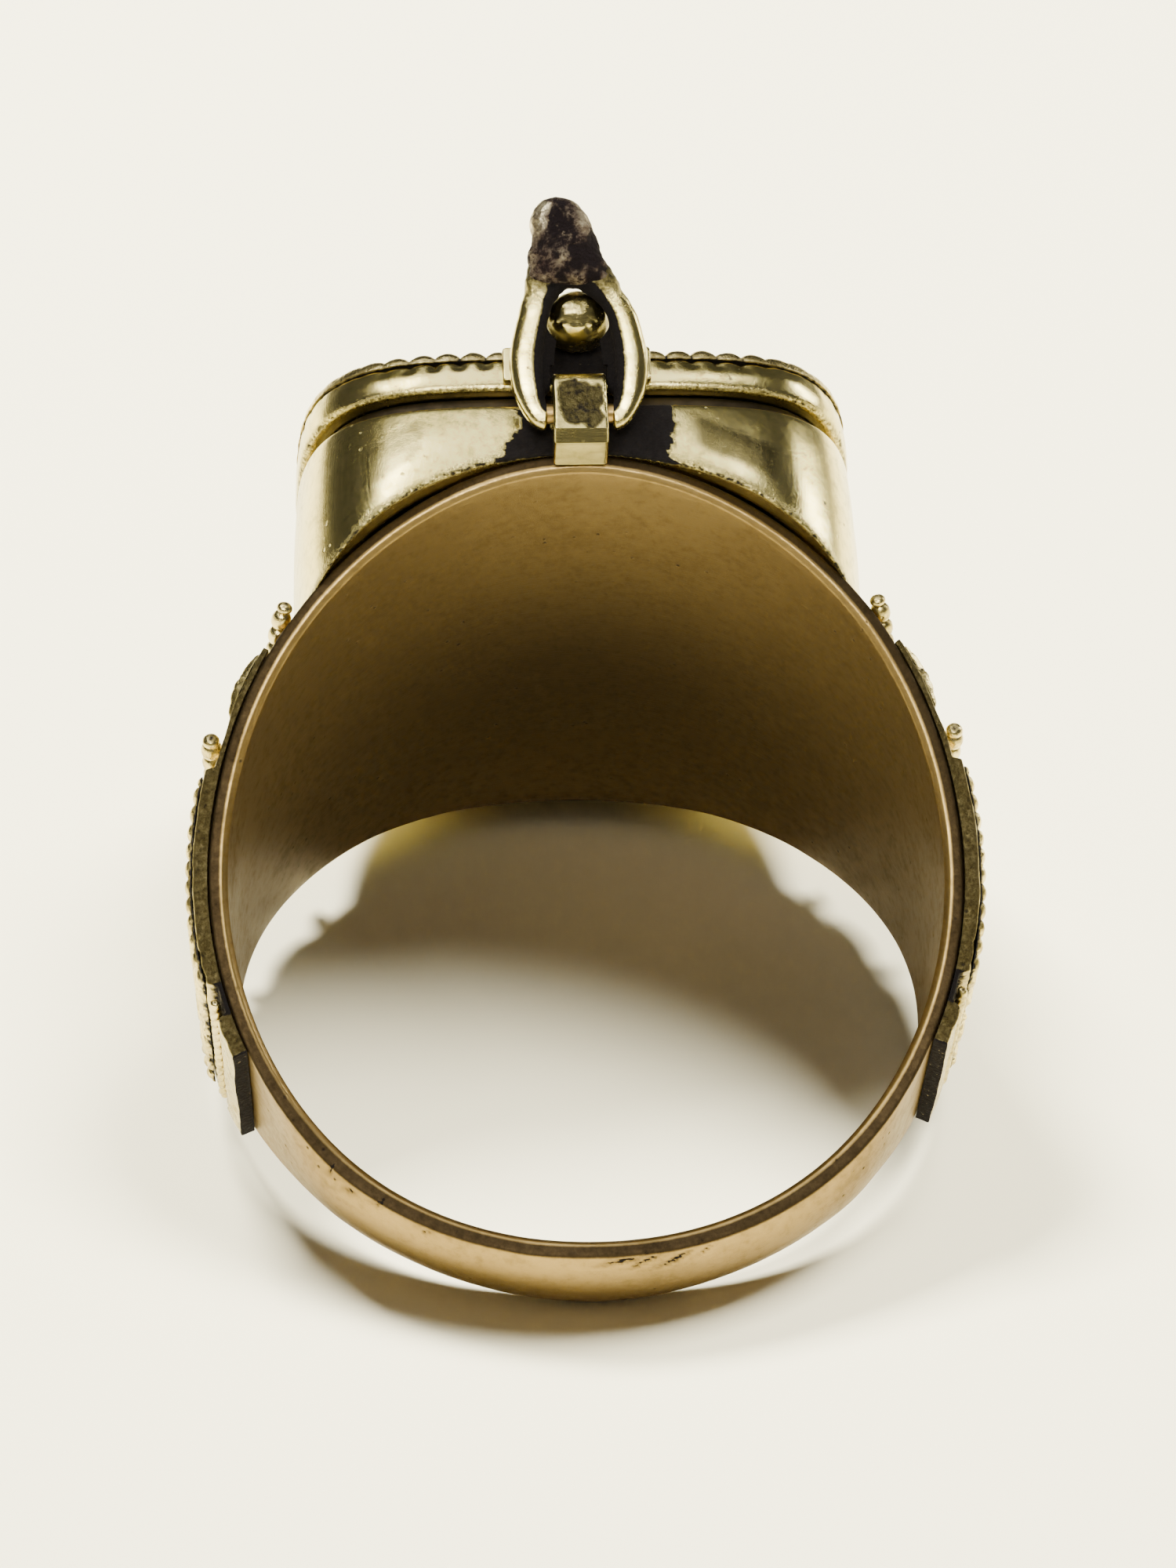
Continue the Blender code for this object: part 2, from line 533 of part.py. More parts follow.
def make_clasp():
    arm_x = (EYE_INNER_X + EYE_OUTER_X) / 2
    half_route = [
        (arm_x, 0.05 * MM),
        (arm_x + 0.24 * MM, 0.28 * MM),
        (LOOP_BELLY - 0.10 * MM, 0.72 * MM),
        (LOOP_BELLY, 1.30 * MM),
        (LOOP_BELLY - 0.04 * MM, 1.85 * MM),
        ((LOOP_BELLY + LOOP_SHOULDER) / 2 + 0.02 * MM, LOOP_TOP - 1.49 * MM),
        (LOOP_SHOULDER, LOOP_TOP - 0.79 * MM),
        (LOOP_SHOULDER * 0.78, LOOP_TOP - 0.39 * MM),
        (LOOP_SHOULDER * 0.42, LOOP_TOP - 0.08 * MM),
    ]
    route = [(-x, s) for x, s in half_route] + [(0.0, LOOP_TOP)] + half_route[::-1]
    loops = []
    for i, (x, s) in enumerate(route):
        ahead, behind = route[min(i + 1, len(route) - 1)], route[max(i - 1, 0)]
        along = Vector((ahead[0] - behind[0], ahead[1] - behind[1])).normalized()
        aside = Vector((-along.y, along.x)) * LOOP_STRAP / 2
        corners = ((1, -1), (1, 1), (-1, 1), (-1, -1))
        loops.append([on_loop(x + a * aside.x, s + a * aside.y, b * LOOP_DEPTH / 2) for a, b in corners])
    loop = add_part("clasp_loop", *skin(loops, False), clasp_axis, POLISHED_BRASS, 0.25)
    centre = (CLASP_PIVOT_Y, CLASP_PIVOT_Z)
    for side, word in ((-1, "left"), (1, "right")):
        ends = sorted((side * EYE_INNER_X, side * EYE_OUTER_X))
        rim = arc(centre, CLASP_EYE_RADIUS, 0, 360 - 360 / ROUND_STEPS, ROUND_STEPS - 1)
        disc = skin([[(x, y, z) for y, z in rim] for x in ends], False)
        combine(loop, add_part(f"eye_{word}_disc", *disc, clasp_axis), "UNION")
    bore = cross_rod(centre, CLASP_PIN_RADIUS + RUNNING_CLEARANCE, -2 * EYE_OUTER_X, 2 * EYE_OUTER_X)
    combine(loop, add_part("eye_bore", *bore, clasp_axis), "DIFFERENCE")

    foot = LOOP_TOP + LOOP_STRAP / 2 + SOLDER_GAP
    rows = ((0.0, 1.0, 0.80), (0.30, 0.95, 1.0), (0.62, 0.83, 1.0), (0.84, 0.62, 0.80), (1.0, 0.28, 0.36))
    loops = []
    for share, wide, deep in rows:
        turns = [2 * math.pi * k / NUB_STEPS for k in range(NUB_STEPS)]
        reach_x, reach_out = NUB_HALF_WIDTH * wide, NUB_HALF_DEPTH * deep
        s = foot + NUB_LENGTH * share
        outline = [(reach_x * math.cos(a), NUB_SHIFT + reach_out * math.sin(a)) for a in turns]
        loops.append([on_loop(x, s, out) for x, out in outline])
    add_part("thumb_nub", *skin(loops, False), clasp_axis, DARK_BRASS, 0.5, 60.0)


def combine(target, tool, operation):
    """A Boolean on target with a hidden helper."""
    tool.hide_render = True
    tool.display_type = "WIRE"
    step = target.modifiers.new(tool.name, "BOOLEAN")
    step.operation = operation
    step.solver = "EXACT"
    step.object = tool


def make_catch():
    """The pad on the lid's front, with a tongue up behind the ball, and the ball stud on it."""
    low, high = RIM_BOTTOM_Z + LID_EDGE, LID_TOP_Z + PAD_RISE
    tongue_top = BALL_Z + STUD_POST_RADIUS + SOLDER_GAP
    right = [
        (PAD_HALF_WIDTH, low),
        (PAD_HALF_WIDTH, high),
        (TONGUE_HALF_WIDTH + TONGUE_SLOPE, high),
        (TONGUE_HALF_WIDTH, tongue_top),
    ]
    outline = right + [(-x, z) for x, z in reversed(right)]
    pad = skin([[(x, y, z) for x, z in outline] for y in (PAD_BACK_Y, PAD_FRONT_Y)], False)
    add_part("catch_pad", *pad, lid_axis, POLISHED_BRASS)

    start = math.degrees(math.asin(STUD_POST_RADIUS / BALL_RADIUS))
    profile = [(STUD_POST_RADIUS, STUD_BACK_Y)]
    for i in range(9):
        angle = math.radians(start + (172 - start) * i / 8)
        profile.append((BALL_RADIUS * math.sin(angle), BALL_Y + BALL_RADIUS * math.cos(angle)))
    loops = []
    for radius, y in profile:
        turns = [2 * math.pi * k / ROUND_STEPS for k in range(ROUND_STEPS)]
        flat = BALL_FLATNESS * radius
        loops.append([(radius * math.cos(a), y, BALL_Z + flat * math.sin(a)) for a in turns])
    add_part("catch_stud", *skin(loops, False), lid_axis, POLISHED_BRASS, 0.15)


def resting_lean():
    """The ring's turn from lying flat, in radians, when barrel and lower shank both touch the table."""
    shank_y, shank_z = HALF_WIDTH_AT[180], -LINER_RADIUS
    across, up = BARREL_Y - shank_y, BARREL_Z - shank_z
    return math.atan2(across, up) + math.asin(BARREL_RADIUS / math.hypot(across, up))


def lay_down():
    """Turns the ring onto its hinge side and sets it down with its box centred over the origin."""
    ring.rotation_euler.x = resting_lean() - math.pi / 2
    bpy.context.view_layer.update()
    graph = bpy.context.evaluated_depsgraph_get()
    points = []
    for part in bpy.context.collection.objects:
        if part.type == "MESH" and not part.hide_render:
            shape = part.evaluated_get(graph)
            points += [shape.matrix_world @ vertex.co for vertex in shape.data.vertices]
    low = Vector([min(point[i] for point in points) for i in range(3)])
    high = Vector([max(point[i] for point in points) for i in range(3)])
    ring.location = (-(low.x + high.x) / 2, -(low.y + high.y) / 2, -low.z)


for old in list(bpy.data.objects):
    bpy.data.objects.remove(old)

ring = empty("ring", (0, 0, 0))
lid_axis = empty("lid_axis", (0, BARREL_Y, BARREL_Z), ring)
clasp_axis = empty("clasp_axis", (0, CLASP_PIVOT_Y, CLASP_PIVOT_Z), ring)

make_hoop()
make_box()
for shoulder_side, shoulder_word in ((-1, "left"), (1, "right")):
    make_shoulder(shoulder_side, shoulder_word)
    make_base_wire(shoulder_side, shoulder_word)
make_lid()
make_hinge()
make_bracket()
make_clasp()
make_catch()
lay_down()
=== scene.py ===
import json
import math

import bpy
import numpy as np
from mathutils import Euler, Matrix, Vector


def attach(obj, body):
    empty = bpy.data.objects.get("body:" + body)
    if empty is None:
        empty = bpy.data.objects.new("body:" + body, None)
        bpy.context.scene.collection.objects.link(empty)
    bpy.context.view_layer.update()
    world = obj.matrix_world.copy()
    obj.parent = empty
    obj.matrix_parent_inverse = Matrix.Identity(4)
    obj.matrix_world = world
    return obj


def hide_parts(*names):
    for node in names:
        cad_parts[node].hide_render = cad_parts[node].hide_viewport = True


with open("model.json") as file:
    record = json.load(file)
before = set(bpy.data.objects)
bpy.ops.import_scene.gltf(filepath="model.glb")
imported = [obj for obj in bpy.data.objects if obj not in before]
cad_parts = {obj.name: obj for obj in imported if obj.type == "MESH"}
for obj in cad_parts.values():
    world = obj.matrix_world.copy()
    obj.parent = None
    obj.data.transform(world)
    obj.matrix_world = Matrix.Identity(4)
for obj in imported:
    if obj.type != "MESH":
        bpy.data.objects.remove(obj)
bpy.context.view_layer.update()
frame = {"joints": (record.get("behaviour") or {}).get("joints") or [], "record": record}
print("frame loaded")

# The ring's own frame, in millimetres from the middle of the finger bore: x to the right, y along the finger
# with the clasp at -y and the hinge at +y, z to the head. Every shape is worked out there.
mm = 0.001
ring = {
    "boreRadius": 9.5,
    "linerRadius": 10.0,
    "onLiner": 10.03,
    "boreChamfer": 0.14,
    "halfWidthAt": {0: 8.78, 45: 7.03, 90: 3.93, 135: 1.57, 180: 1.44},
    "hinge": (9.90, 12.57),
    "claspPivot": (-9.60, 10.75),
}
joints = {joint["name"]: joint for joint in frame["joints"]}
headAxis = np.array(frame["record"]["mounts"][0]["axis"])
fingerAxis = np.array([0.0, headAxis[2], -headAxis[1]])
hingePlace = np.array(joints["lid_hinge"]["pos_m"])
centre = hingePlace - mm * (ring["hinge"][0] * fingerAxis + ring["hinge"][1] * headAxis)
lean = Euler((math.atan2(fingerAxis[2], fingerAxis[1]), 0, 0))


def toRow(points):
    # the ring's own millimetres to the frame's metres
    return centre + mm * (points @ np.array([[1.0, 0, 0], fingerAxis, headAxis]))


def ease(t):
    # 0 below 0, 1 above 1, and a smooth S between: 3t^2 - 2t^3
    t = np.clip(t, 0, 1)
    return t * t * (3 - 2 * t)


def hill(distance, width):
    # 1 in the middle, falling off like a bell: e^-(d/w)^2
    return np.exp(-((distance / width) ** 2))


def lumps(points, size, seed, layers=3):
    # random heights on a cubic lattice, blended by smooth steps; each layer is half as large and half as high
    table = np.random.default_rng(seed).uniform(-1, 1, (24, 24, 24))
    total = np.zeros(points.shape[:-1])
    for layer in range(layers):
        place = points * (2**layer / size) + 31.7 * layer
        cell = np.floor(place).astype(int)
        t = ease(place - cell)
        for corner in range(8):
            offset = np.array([corner & 1, corner >> 1 & 1, corner >> 2])
            weight = np.prod(np.where(offset, t, 1 - t), axis=-1)
            index = (cell + offset) % 24
            total += weight * table[index[..., 0], index[..., 1], index[..., 2]] * 0.5**layer
    return total


def rounded(corners, radius, bend=3, straight=1, closed=True):
    # every corner becomes a parabola from `radius` before it to `radius` after it; sides get even steps
    corners = np.asarray(corners, float)
    count = corners.shape[-2]
    radius = np.broadcast_to(np.asarray(radius, float), (count,))[:, None]
    straight = np.broadcast_to(np.asarray(straight), (count,))
    ahead = np.roll(corners, -1, -2) - corners
    behind = np.roll(corners, 1, -2) - corners
    longAhead = np.linalg.norm(ahead, axis=-1, keepdims=True) + 1e-12
    longBehind = np.linalg.norm(behind, axis=-1, keepdims=True) + 1e-12
    cut = np.minimum(radius, 0.45 * np.minimum(longAhead, longBehind))
    start = corners + behind / longBehind * cut
    end = corners + ahead / longAhead * cut
    t = np.linspace(0, 1, bend + 1)[:, None]
    rows = []
    for i in range(count):
        a, b, c = start[..., i, None, :], corners[..., i, None, :], end[..., i, None, :]
        if closed or 0 < i < count - 1:
            rows.append((1 - t) ** 2 * a + 2 * t * (1 - t) * b + t * t * c)
        else:
            rows.append(b)
            c = b
        if closed or i < count - 1:
            after = (i + 1) % count
            goal = start[..., after, None, :] if closed or after < count - 1 else corners[..., after, None, :]
            s = (np.arange(1, straight[i]) / straight[i])[:, None]
            rows.append(c * (1 - s) + goal * s)
    return np.concatenate(rows, -2)


def halfWidth(theta):
    # half the band's width at an angle in degrees: cubic pieces through the named widths, level at both ends
    angles = np.array(sorted(ring["halfWidthAt"]), float)
    widths = np.array([ring["halfWidthAt"][int(angle)] for angle in angles])
    slopes = np.zeros(len(angles))
    slopes[1:-1] = (widths[2:] - widths[:-2]) / (angles[2:] - angles[:-2])
    theta = np.abs((np.asarray(theta, float) + 180) % 360 - 180)
    index = np.clip(np.searchsorted(angles, theta, "right") - 1, 0, len(angles) - 2)
    span = angles[index + 1] - angles[index]
    t = (theta - angles[index]) / span
    start = widths[index] * (1 + 2 * t) * (1 - t) ** 2 + slopes[index] * span * t * (1 - t) ** 2
    return start + widths[index + 1] * t * t * (3 - 2 * t) + slopes[index + 1] * span * t * t * (t - 1)


def onBand(theta, radius, y, side=1):
    # x = side * radius * sin(angle) and z = radius * cos(angle); side -1 is the left
    angle, radius, y = np.broadcast_arrays(np.radians(theta), radius, y)
    return np.stack([side * radius * np.sin(angle), y, radius * np.cos(angle)], -1)


def closedGrid(grid, wrapRows):
    # quads between rows of points that close on themselves; open ends get a fan of triangles
    rows, columns = grid.shape[:2]
    points = grid.reshape(-1, 3)
    index = np.arange(rows * columns).reshape(rows, columns)
    here = index if wrapRows else index[:-1]
    there = np.roll(index, -1, 0) if wrapRows else index[1:]
    quads = np.stack([here, np.roll(here, -1, 1), np.roll(there, -1, 1), there], -1).reshape(-1, 4)
    fans = np.zeros((0, 3), int)
    if not wrapRows:
        first, last = len(points), len(points) + 1
        points = np.concatenate([points, [grid[0].mean(0), grid[-1].mean(0)]])
        low = np.stack([np.roll(index[0], -1), index[0], np.full(columns, first)], -1)
        high = np.stack([index[-1], np.roll(index[-1], -1), np.full(columns, last)], -1)
        fans = np.concatenate([low, high])
    a, b, c, d = (points[quads[:, k]] for k in range(4))
    volume = np.einsum("ij,ij->", a, np.cross(b, c)) + np.einsum("ij,ij->", a, np.cross(c, d))
    e, f, g = (points[fans[:, k]] for k in range(3))
    volume += np.einsum("ij,ij->", e, np.cross(f, g))
    if volume < 0:
        quads, fans = quads[:, ::-1], fans[:, ::-1]
    return points, quads.tolist() + fans.tolist()


def patch(grid, wrapRows=True, relief=1.0, stain=0.0, tone=0.0):
    # one closed surface, with its height share (0 in a recess, 1 on a crest), its patina and its slow
    # darkening at each point; in some pieces the patina and darkening shares also carry painted shade
    points, faces = closedGrid(grid, wrapRows)
    extra = len(points) - grid.shape[0] * grid.shape[1]
    shares = []
    for share in (relief, stain, tone):
        share = np.broadcast_to(np.asarray(share, float), grid.shape[:2]).reshape(-1)
        ends = [share[0], share[-1]] if extra else []
        shares.append(np.concatenate([share, ends]))
    return points, faces, shares


def makePiece(name, body, slotName, surface, sharp=38):
    # one closed surface as an object in the frame's metres, its three shares kept as point attributes
    points, faces, shares = surface
    mesh = bpy.data.meshes.new(name)
    mesh.from_pydata(toRow(points), [], faces)
    for label, values in zip(("relief", "stain", "tone"), shares):
        layer = mesh.attributes.new(label, "FLOAT", "POINT")
        layer.data.foreach_set("value", values.astype(np.float32))
    mesh.shade_smooth()
    mesh.set_sharp_from_angle(angle=math.radians(sharp))
    mesh.materials.append(finishes[slotName])
    piece = bpy.data.objects.new(f"{name}_worked", mesh)
    bpy.context.scene.collection.objects.link(piece)
    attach(piece, body)
    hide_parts(name)
    triangles = sum(len(face) - 2 for face in faces)
    print(f"{name}: {triangles} triangles")


box = {
    "halfX": 7.85,
    "halfY": 8.90,
    "squareness": 4.63,
    "wall": 0.70,
    "top": 11.62,
    "footRadius": 0.06,
    "topRadius": 0.10,
    "wobble": 0.035,
    "steps": 520,
    # black patina beside the bracket: x, half-width, and how it widens below blackFrom
    "blacks": [(1.50, 1.00, 0.0), (-1.25, 0.55, 0.6)],
    "blackFrom": 10.9,
    # two slow painted dark reflections on the front: x, height above the foot, their half-sizes, their fades,
    # depth
    "pools": [
        (4.25, 1.15, 1.35, 0.80, 0.45, 0.40, 0.85),
        (-5.0, 1.55, 0.95, 0.75, 0.30, 0.25, 0.50),
    ],
}


def plan(turn, inset):
    # a superellipse: the reach at an angle is (|cos/a|^n + |sin/b|^n)^(-1/n)
    across = np.abs(np.cos(turn)) / (box["halfX"] - inset)
    along = np.abs(np.sin(turn)) / (box["halfY"] - inset)
    reach = (across ** box["squareness"] + along ** box["squareness"]) ** (-1 / box["squareness"])
    return reach * np.cos(turn), reach * np.sin(turn)


def planTurns(count, inset=0.4):
    # angles that lie evenly along the outline, and the distance along it, starting at the middle of the front
    turn = np.linspace(0, 2 * np.pi, 6001) - np.pi / 2
    x, y = plan(turn, inset)
    run = np.concatenate([[0], np.cumsum(np.hypot(np.diff(x), np.diff(y)))])
    even = np.linspace(0, run[-1], count, endpoint=False)
    return np.interp(even, run, turn), even, run[-1]


def onPlan(turn, inset, z):
    x, y = plan(turn, inset)
    return np.stack(np.broadcast_arrays(x, y, z), -1)


def sweepPlan(section, radius, bend, straight, steps):
    # a closed (inset, z) section carried round the outline
    turn = planTurns(steps)[0]
    outline = rounded(section, radius, bend, straight)
    return onPlan(turn[:, None], outline[..., 0], outline[..., 1])


class Flow:
    # a socket whose arithmetic adds Math nodes
    def __init__(self, paint, socket):
        self.paint = paint
        self.socket = socket

    def math(self, operation, *values):
        return self.paint.node("ShaderNodeMath", {"operation": operation}, dict(enumerate(values)))

    def __add__(self, other):
        return self.math("ADD", self, other)

    def __sub__(self, other):
        return self.math("SUBTRACT", self, other)

    def __rsub__(self, other):
        return self.math("SUBTRACT", other, self)

    def __mul__(self, other):
        return self.math("MULTIPLY", self, other)

    def __pow__(self, other):
        return self.math("POWER", self, other)

    __radd__ = __add__
    __rmul__ = __mul__

    def kept(self):
        # limited to 0 to 1
        return self.math("MINIMUM", self.math("MAXIMUM", self, 0.0), 1.0)

    def above(self, low, high):
        # 0 below low, 1 above high
        return ((self - low) * (1 / (high - low))).kept()


class Paint:
    # the nodes of one material or world; node() makes any node
    def __init__(self, owner):
        self.owner = owner
        owner.use_nodes = True
        self.tree = owner.node_tree
        self.tree.nodes.clear()

    def node(self, kind, settings=None, sockets=None, output=0):
        made = self.tree.nodes.new(kind)
        for key, value in (settings or {}).items():
            if key == "stops":
                ramp = made.color_ramp
                while len(ramp.elements) < len(value):
                    ramp.elements.new(0.5)
                for element, (position, colour) in zip(ramp.elements, value):
                    element.position = position
                    element.color = (*colour, 1)
            else:
                setattr(made, key, value)
        for key, value in (sockets or {}).items():
            socket = made.inputs[key]
            if isinstance(value, Flow):
                self.tree.links.new(value.socket, socket)
            else:
                socket.default_value = value
        return Flow(self, made.outputs[output]) if made.outputs else None

    def blend(self, share, low, high):
        def filled(colour):
            return colour if isinstance(colour, Flow) else (*colour, 1)

        colours = {0: share, 6: filled(low), 7: filled(high)}
        return self.node("ShaderNodeMix", {"data_type": "RGBA"}, colours, 2)

    def noise(self, place, scale, detail=3.0, roughness=0.55):
        return self.node(
            "ShaderNodeTexNoise",
            None,
            {"Vector": place, "Scale": scale, "Detail": detail, "Roughness": roughness},
        )

    def attribute(self, name):
        return self.node("ShaderNodeAttribute", {"attribute_name": name}, None, 2)


def brass(name, look):
    # Brass in four depths: bright, middle, tarnished and soot, and a deep colour. Tarnish follows a slow
    # noise, soot follows the recesses and the patina share of the mesh, and the deep colour follows its
    # darkening share. In some pieces these two shares carry painted shade, painted dark reflections and
    # painted highlights besides real patina and tone. Fine scratches run round the finger, and pits are small
    # dark cells.
    paint = Paint(bpy.data.materials.new(name))
    object3d = paint.node("ShaderNodeTexCoord", None, None, 3)
    place = paint.node(
        "ShaderNodeMapping",
        {"vector_type": "TEXTURE"},
        {"Vector": object3d, "Location": tuple(centre), "Rotation": tuple(lean), "Scale": (mm, mm, mm)},
    )
    split = paint.node("ShaderNodeSeparateXYZ", None, {0: place})
    x, y, z = (Flow(paint, split.socket.node.outputs[k]) for k in range(3))
    angle = x.math("ARCTAN2", x.math("ABSOLUTE", x), z)
    along = paint.node("ShaderNodeCombineXYZ", None, {0: angle * 2.2, 1: y * 26.0, 2: x * 1.5})

    slow = paint.noise(place, look["mottleScale"], 4.0)
    quick = paint.noise(place, look["speckleScale"], 3.0, 0.65)
    fine = paint.noise(place, 34.0, 2.0)
    scratch = paint.noise(along, 1.0, 3.0, 0.6)
    relief = paint.attribute("relief")
    stain = paint.attribute("stain")
    tone = paint.attribute("tone")
    cells = paint.node("ShaderNodeTexVoronoi", None, {"Vector": place, "Scale": look["pitScale"]})
    pits = (1 - cells.above(look["pitSize"], look["pitSize"] + 0.08)) * slow.above(0.5, 0.62)

    mottle = (slow * 0.6 + quick * 0.4).above(0.40, 0.62)
    tarnish = (slow * 0.35 + quick * 0.65 + look["tarnish"] - 0.5).above(0.0, 0.22)
    recess = (look["recessLevel"] - relief + (quick - 0.5) * 0.5).above(0.0, 0.30)
    speck = paint.noise(place, look["speckScale"], 4.0, 0.7)
    ageAndShade = stain.above(0.0, 0.6) * (0.62 + (speck - 0.5) * 2.4 + (quick - 0.5) * 0.8).kept()
    patinaAndShade = (stain * 1.7 + (quick - 0.5) * 1.2 + (speck - 0.5) * 0.9 - 1.10).above(0.0, 0.30)
    soot = recess.math("MAXIMUM", recess, patinaAndShade)
    soot = soot.math("MAXIMUM", soot, pits * look["pitDark"])

    colour = paint.blend(mottle * look["mottle"], look["bright"], look["middle"])
    wearAndShade = tarnish.math("MAXIMUM", tarnish * look["tarnishDepth"], ageAndShade)
    colour = paint.blend(wearAndShade, colour, look["dark"])
    # the deep colour by the darkening share: painted shade in the bore, painted dark reflections on the box
    # front, inside the loop and round the stud's ball, and the real dark of patina and fire scale elsewhere
    colour = paint.blend(tone, colour, look["deep"])
    colour = paint.blend(soot, colour, look["soot"])
    rough = look["roughness"] + mottle * 0.05 + (scratch - 0.5) * look["scratchGloss"] + tarnish * 0.10
    rough = rough + soot * 0.50 + ageAndShade * 0.16 + tone * 0.10
    rough = rough.math("MINIMUM", rough, 0.9)
    height = fine * look["grain"] + quick * look["speckleHeight"] + scratch * look["scratchHeight"]
    height = height - pits * look["pitDepth"] - soot * 0.15 + speck * (ageAndShade * 0.9 + 0.05)
    bump = {"Strength": 1.0, "Distance": look["bump"] * mm, "Height": height}
    normal = paint.node("ShaderNodeBump", None, bump)
    shader = paint.node(
        "ShaderNodeBsdfPrincipled",
        None,
        {
            "Base Color": colour,
            "Metallic": 1 - soot * look["sootMatte"],
            "Roughness": rough,
            "Normal": normal,
            "Specular IOR Level": 0.4,
        },
    )
    paint.node("ShaderNodeOutputMaterial", None, {0: shader})
    return paint.owner


brassLook = {
    "bright": (0.80, 0.68, 0.27),
    "middle": (0.52, 0.43, 0.13),
    "dark": (0.10, 0.078, 0.018),
    "soot": (0.014, 0.012, 0.012),
    # deep is the colour of the darkening share: painted shade and painted dark reflections in some pieces
    "deep": (0.030, 0.024, 0.010),
    "mottleScale": 0.45,
    "speckleScale": 3.2,
    "speckScale": 9.0,
    "mottle": 0.8,
    "tarnish": -0.02,
    "tarnishDepth": 0.35,
    "recessLevel": 0.12,
    "roughness": 0.17,
    "grain": 0.15,
    "speckleHeight": 0.3,
    "scratchHeight": 0.15,
    "scratchGloss": 0.10,
    "pitScale": 2.2,
    "pitSize": 0.06,
    "pitDark": 0.7,
    "pitDepth": 1.0,
    "bump": 0.02,
    "sootMatte": 0.15,
}
# what each finish changes in the look above
finishLooks = {
    "polished_brass": {},
    "satin_brass": {
        # its colours sit well below the polished brass: partly the satin finish, partly painted shade for the
        # bore, which mirrors the shadowed floor
        "bright": (0.38, 0.262, 0.094),
        "middle": (0.28, 0.190, 0.064),
        "dark": (0.10, 0.066, 0.018),
        "deep": (0.032, 0.022, 0.012),
        "roughness": 0.36,
        "tarnish": 0.0,
        "tarnishDepth": 0.25,
        "grain": 0.3,
        "scratchHeight": 0.5,
        "bump": 0.012,
    },
    "antiqued_brass": {
        "bright": (0.76, 0.63, 0.27),
        "middle": (0.46, 0.36, 0.115),
        "dark": (0.085, 0.062, 0.016),
        "deep": (0.030, 0.023, 0.009),
        "tarnish": 0.0,
        "tarnishDepth": 0.85,
        "recessLevel": 0.42,
        "roughness": 0.24,
        "speckleScale": 4.5,
        "speckleHeight": 0.7,
        "bump": 0.03,
    },
    "fire_scaled_brass": {
        "bright": (0.60, 0.52, 0.33),
        "middle": (0.24, 0.18, 0.13),
        "dark": (0.050, 0.032, 0.030),
        "deep": (0.035, 0.022, 0.022),
        "soot": (0.014, 0.010, 0.011),
        "mottleScale": 0.9,
        "speckleScale": 4.0,
        "tarnish": 0.10,
        "tarnishDepth": 0.95,
        "recessLevel": 0.45,
        "roughness": 0.33,
        "speckleHeight": 1.2,
        "bump": 0.05,
    },
    # a near-black finish for the lid's flange, which fills the seam between lid and box: painted shade of the
    # seam
    "dark_brass": {
        "bright": (0.05, 0.04, 0.025),
        "middle": (0.03, 0.024, 0.015),
        "dark": (0.012, 0.010, 0.008),
        "roughness": 0.45,
    },
    "signet_face": {"recessLevel": 0.45, "roughness": 0.20, "bump": 0.015},
}
finishes = {}
for slotName, changes in finishLooks.items():
    first, *others = slotName.split("_")
    finishes[slotName] = brass(first + "".join(word.title() for word in others), {**brassLook, **changes})
print("finishes made")


hoop = {
    "steps": 620,
    "crown": 0.35,
    "crownFrom": 118,
    "crownTo": 140,
    "edge": 0.10,
    "boreEdge": 0.05,
    "wobble": 0.022,
    # painted shade in the bore, for the shadowed floor it mirrors: it darkens slowly from an even share,
    # and more about a y, over a half-length and a half-angle
    "borePale": 0.36,
    "boreShadeDeep": 0.46,
    "boreDark": (0.8, 5.8, 50),
    "flankTone": 0.92,
    "outsideTone": 0.20,
    # nicks on the outside of the shank: angle, y, tilt in degrees, half-length, half-width, depth
    "nicks": [
        (176.5, -1.22, 80, 0.46, 0.050, 0.06),
        (173.0, -1.14, 66, 0.36, 0.045, 0.06),
        (168.5, -1.05, 68, 0.42, 0.050, 0.06),
        (164.0, -1.10, 60, 0.20, 0.035, 0.04),
        (206.0, -1.10, 40, 0.12, 0.05, 0.04),
        (214.0, -1.25, 20, 0.10, 0.06, 0.04),
        (219.0, -1.15, 70, 0.12, 0.05, 0.04),
        (223.0, -1.35, 10, 0.16, 0.05, 0.04),
    ],
}


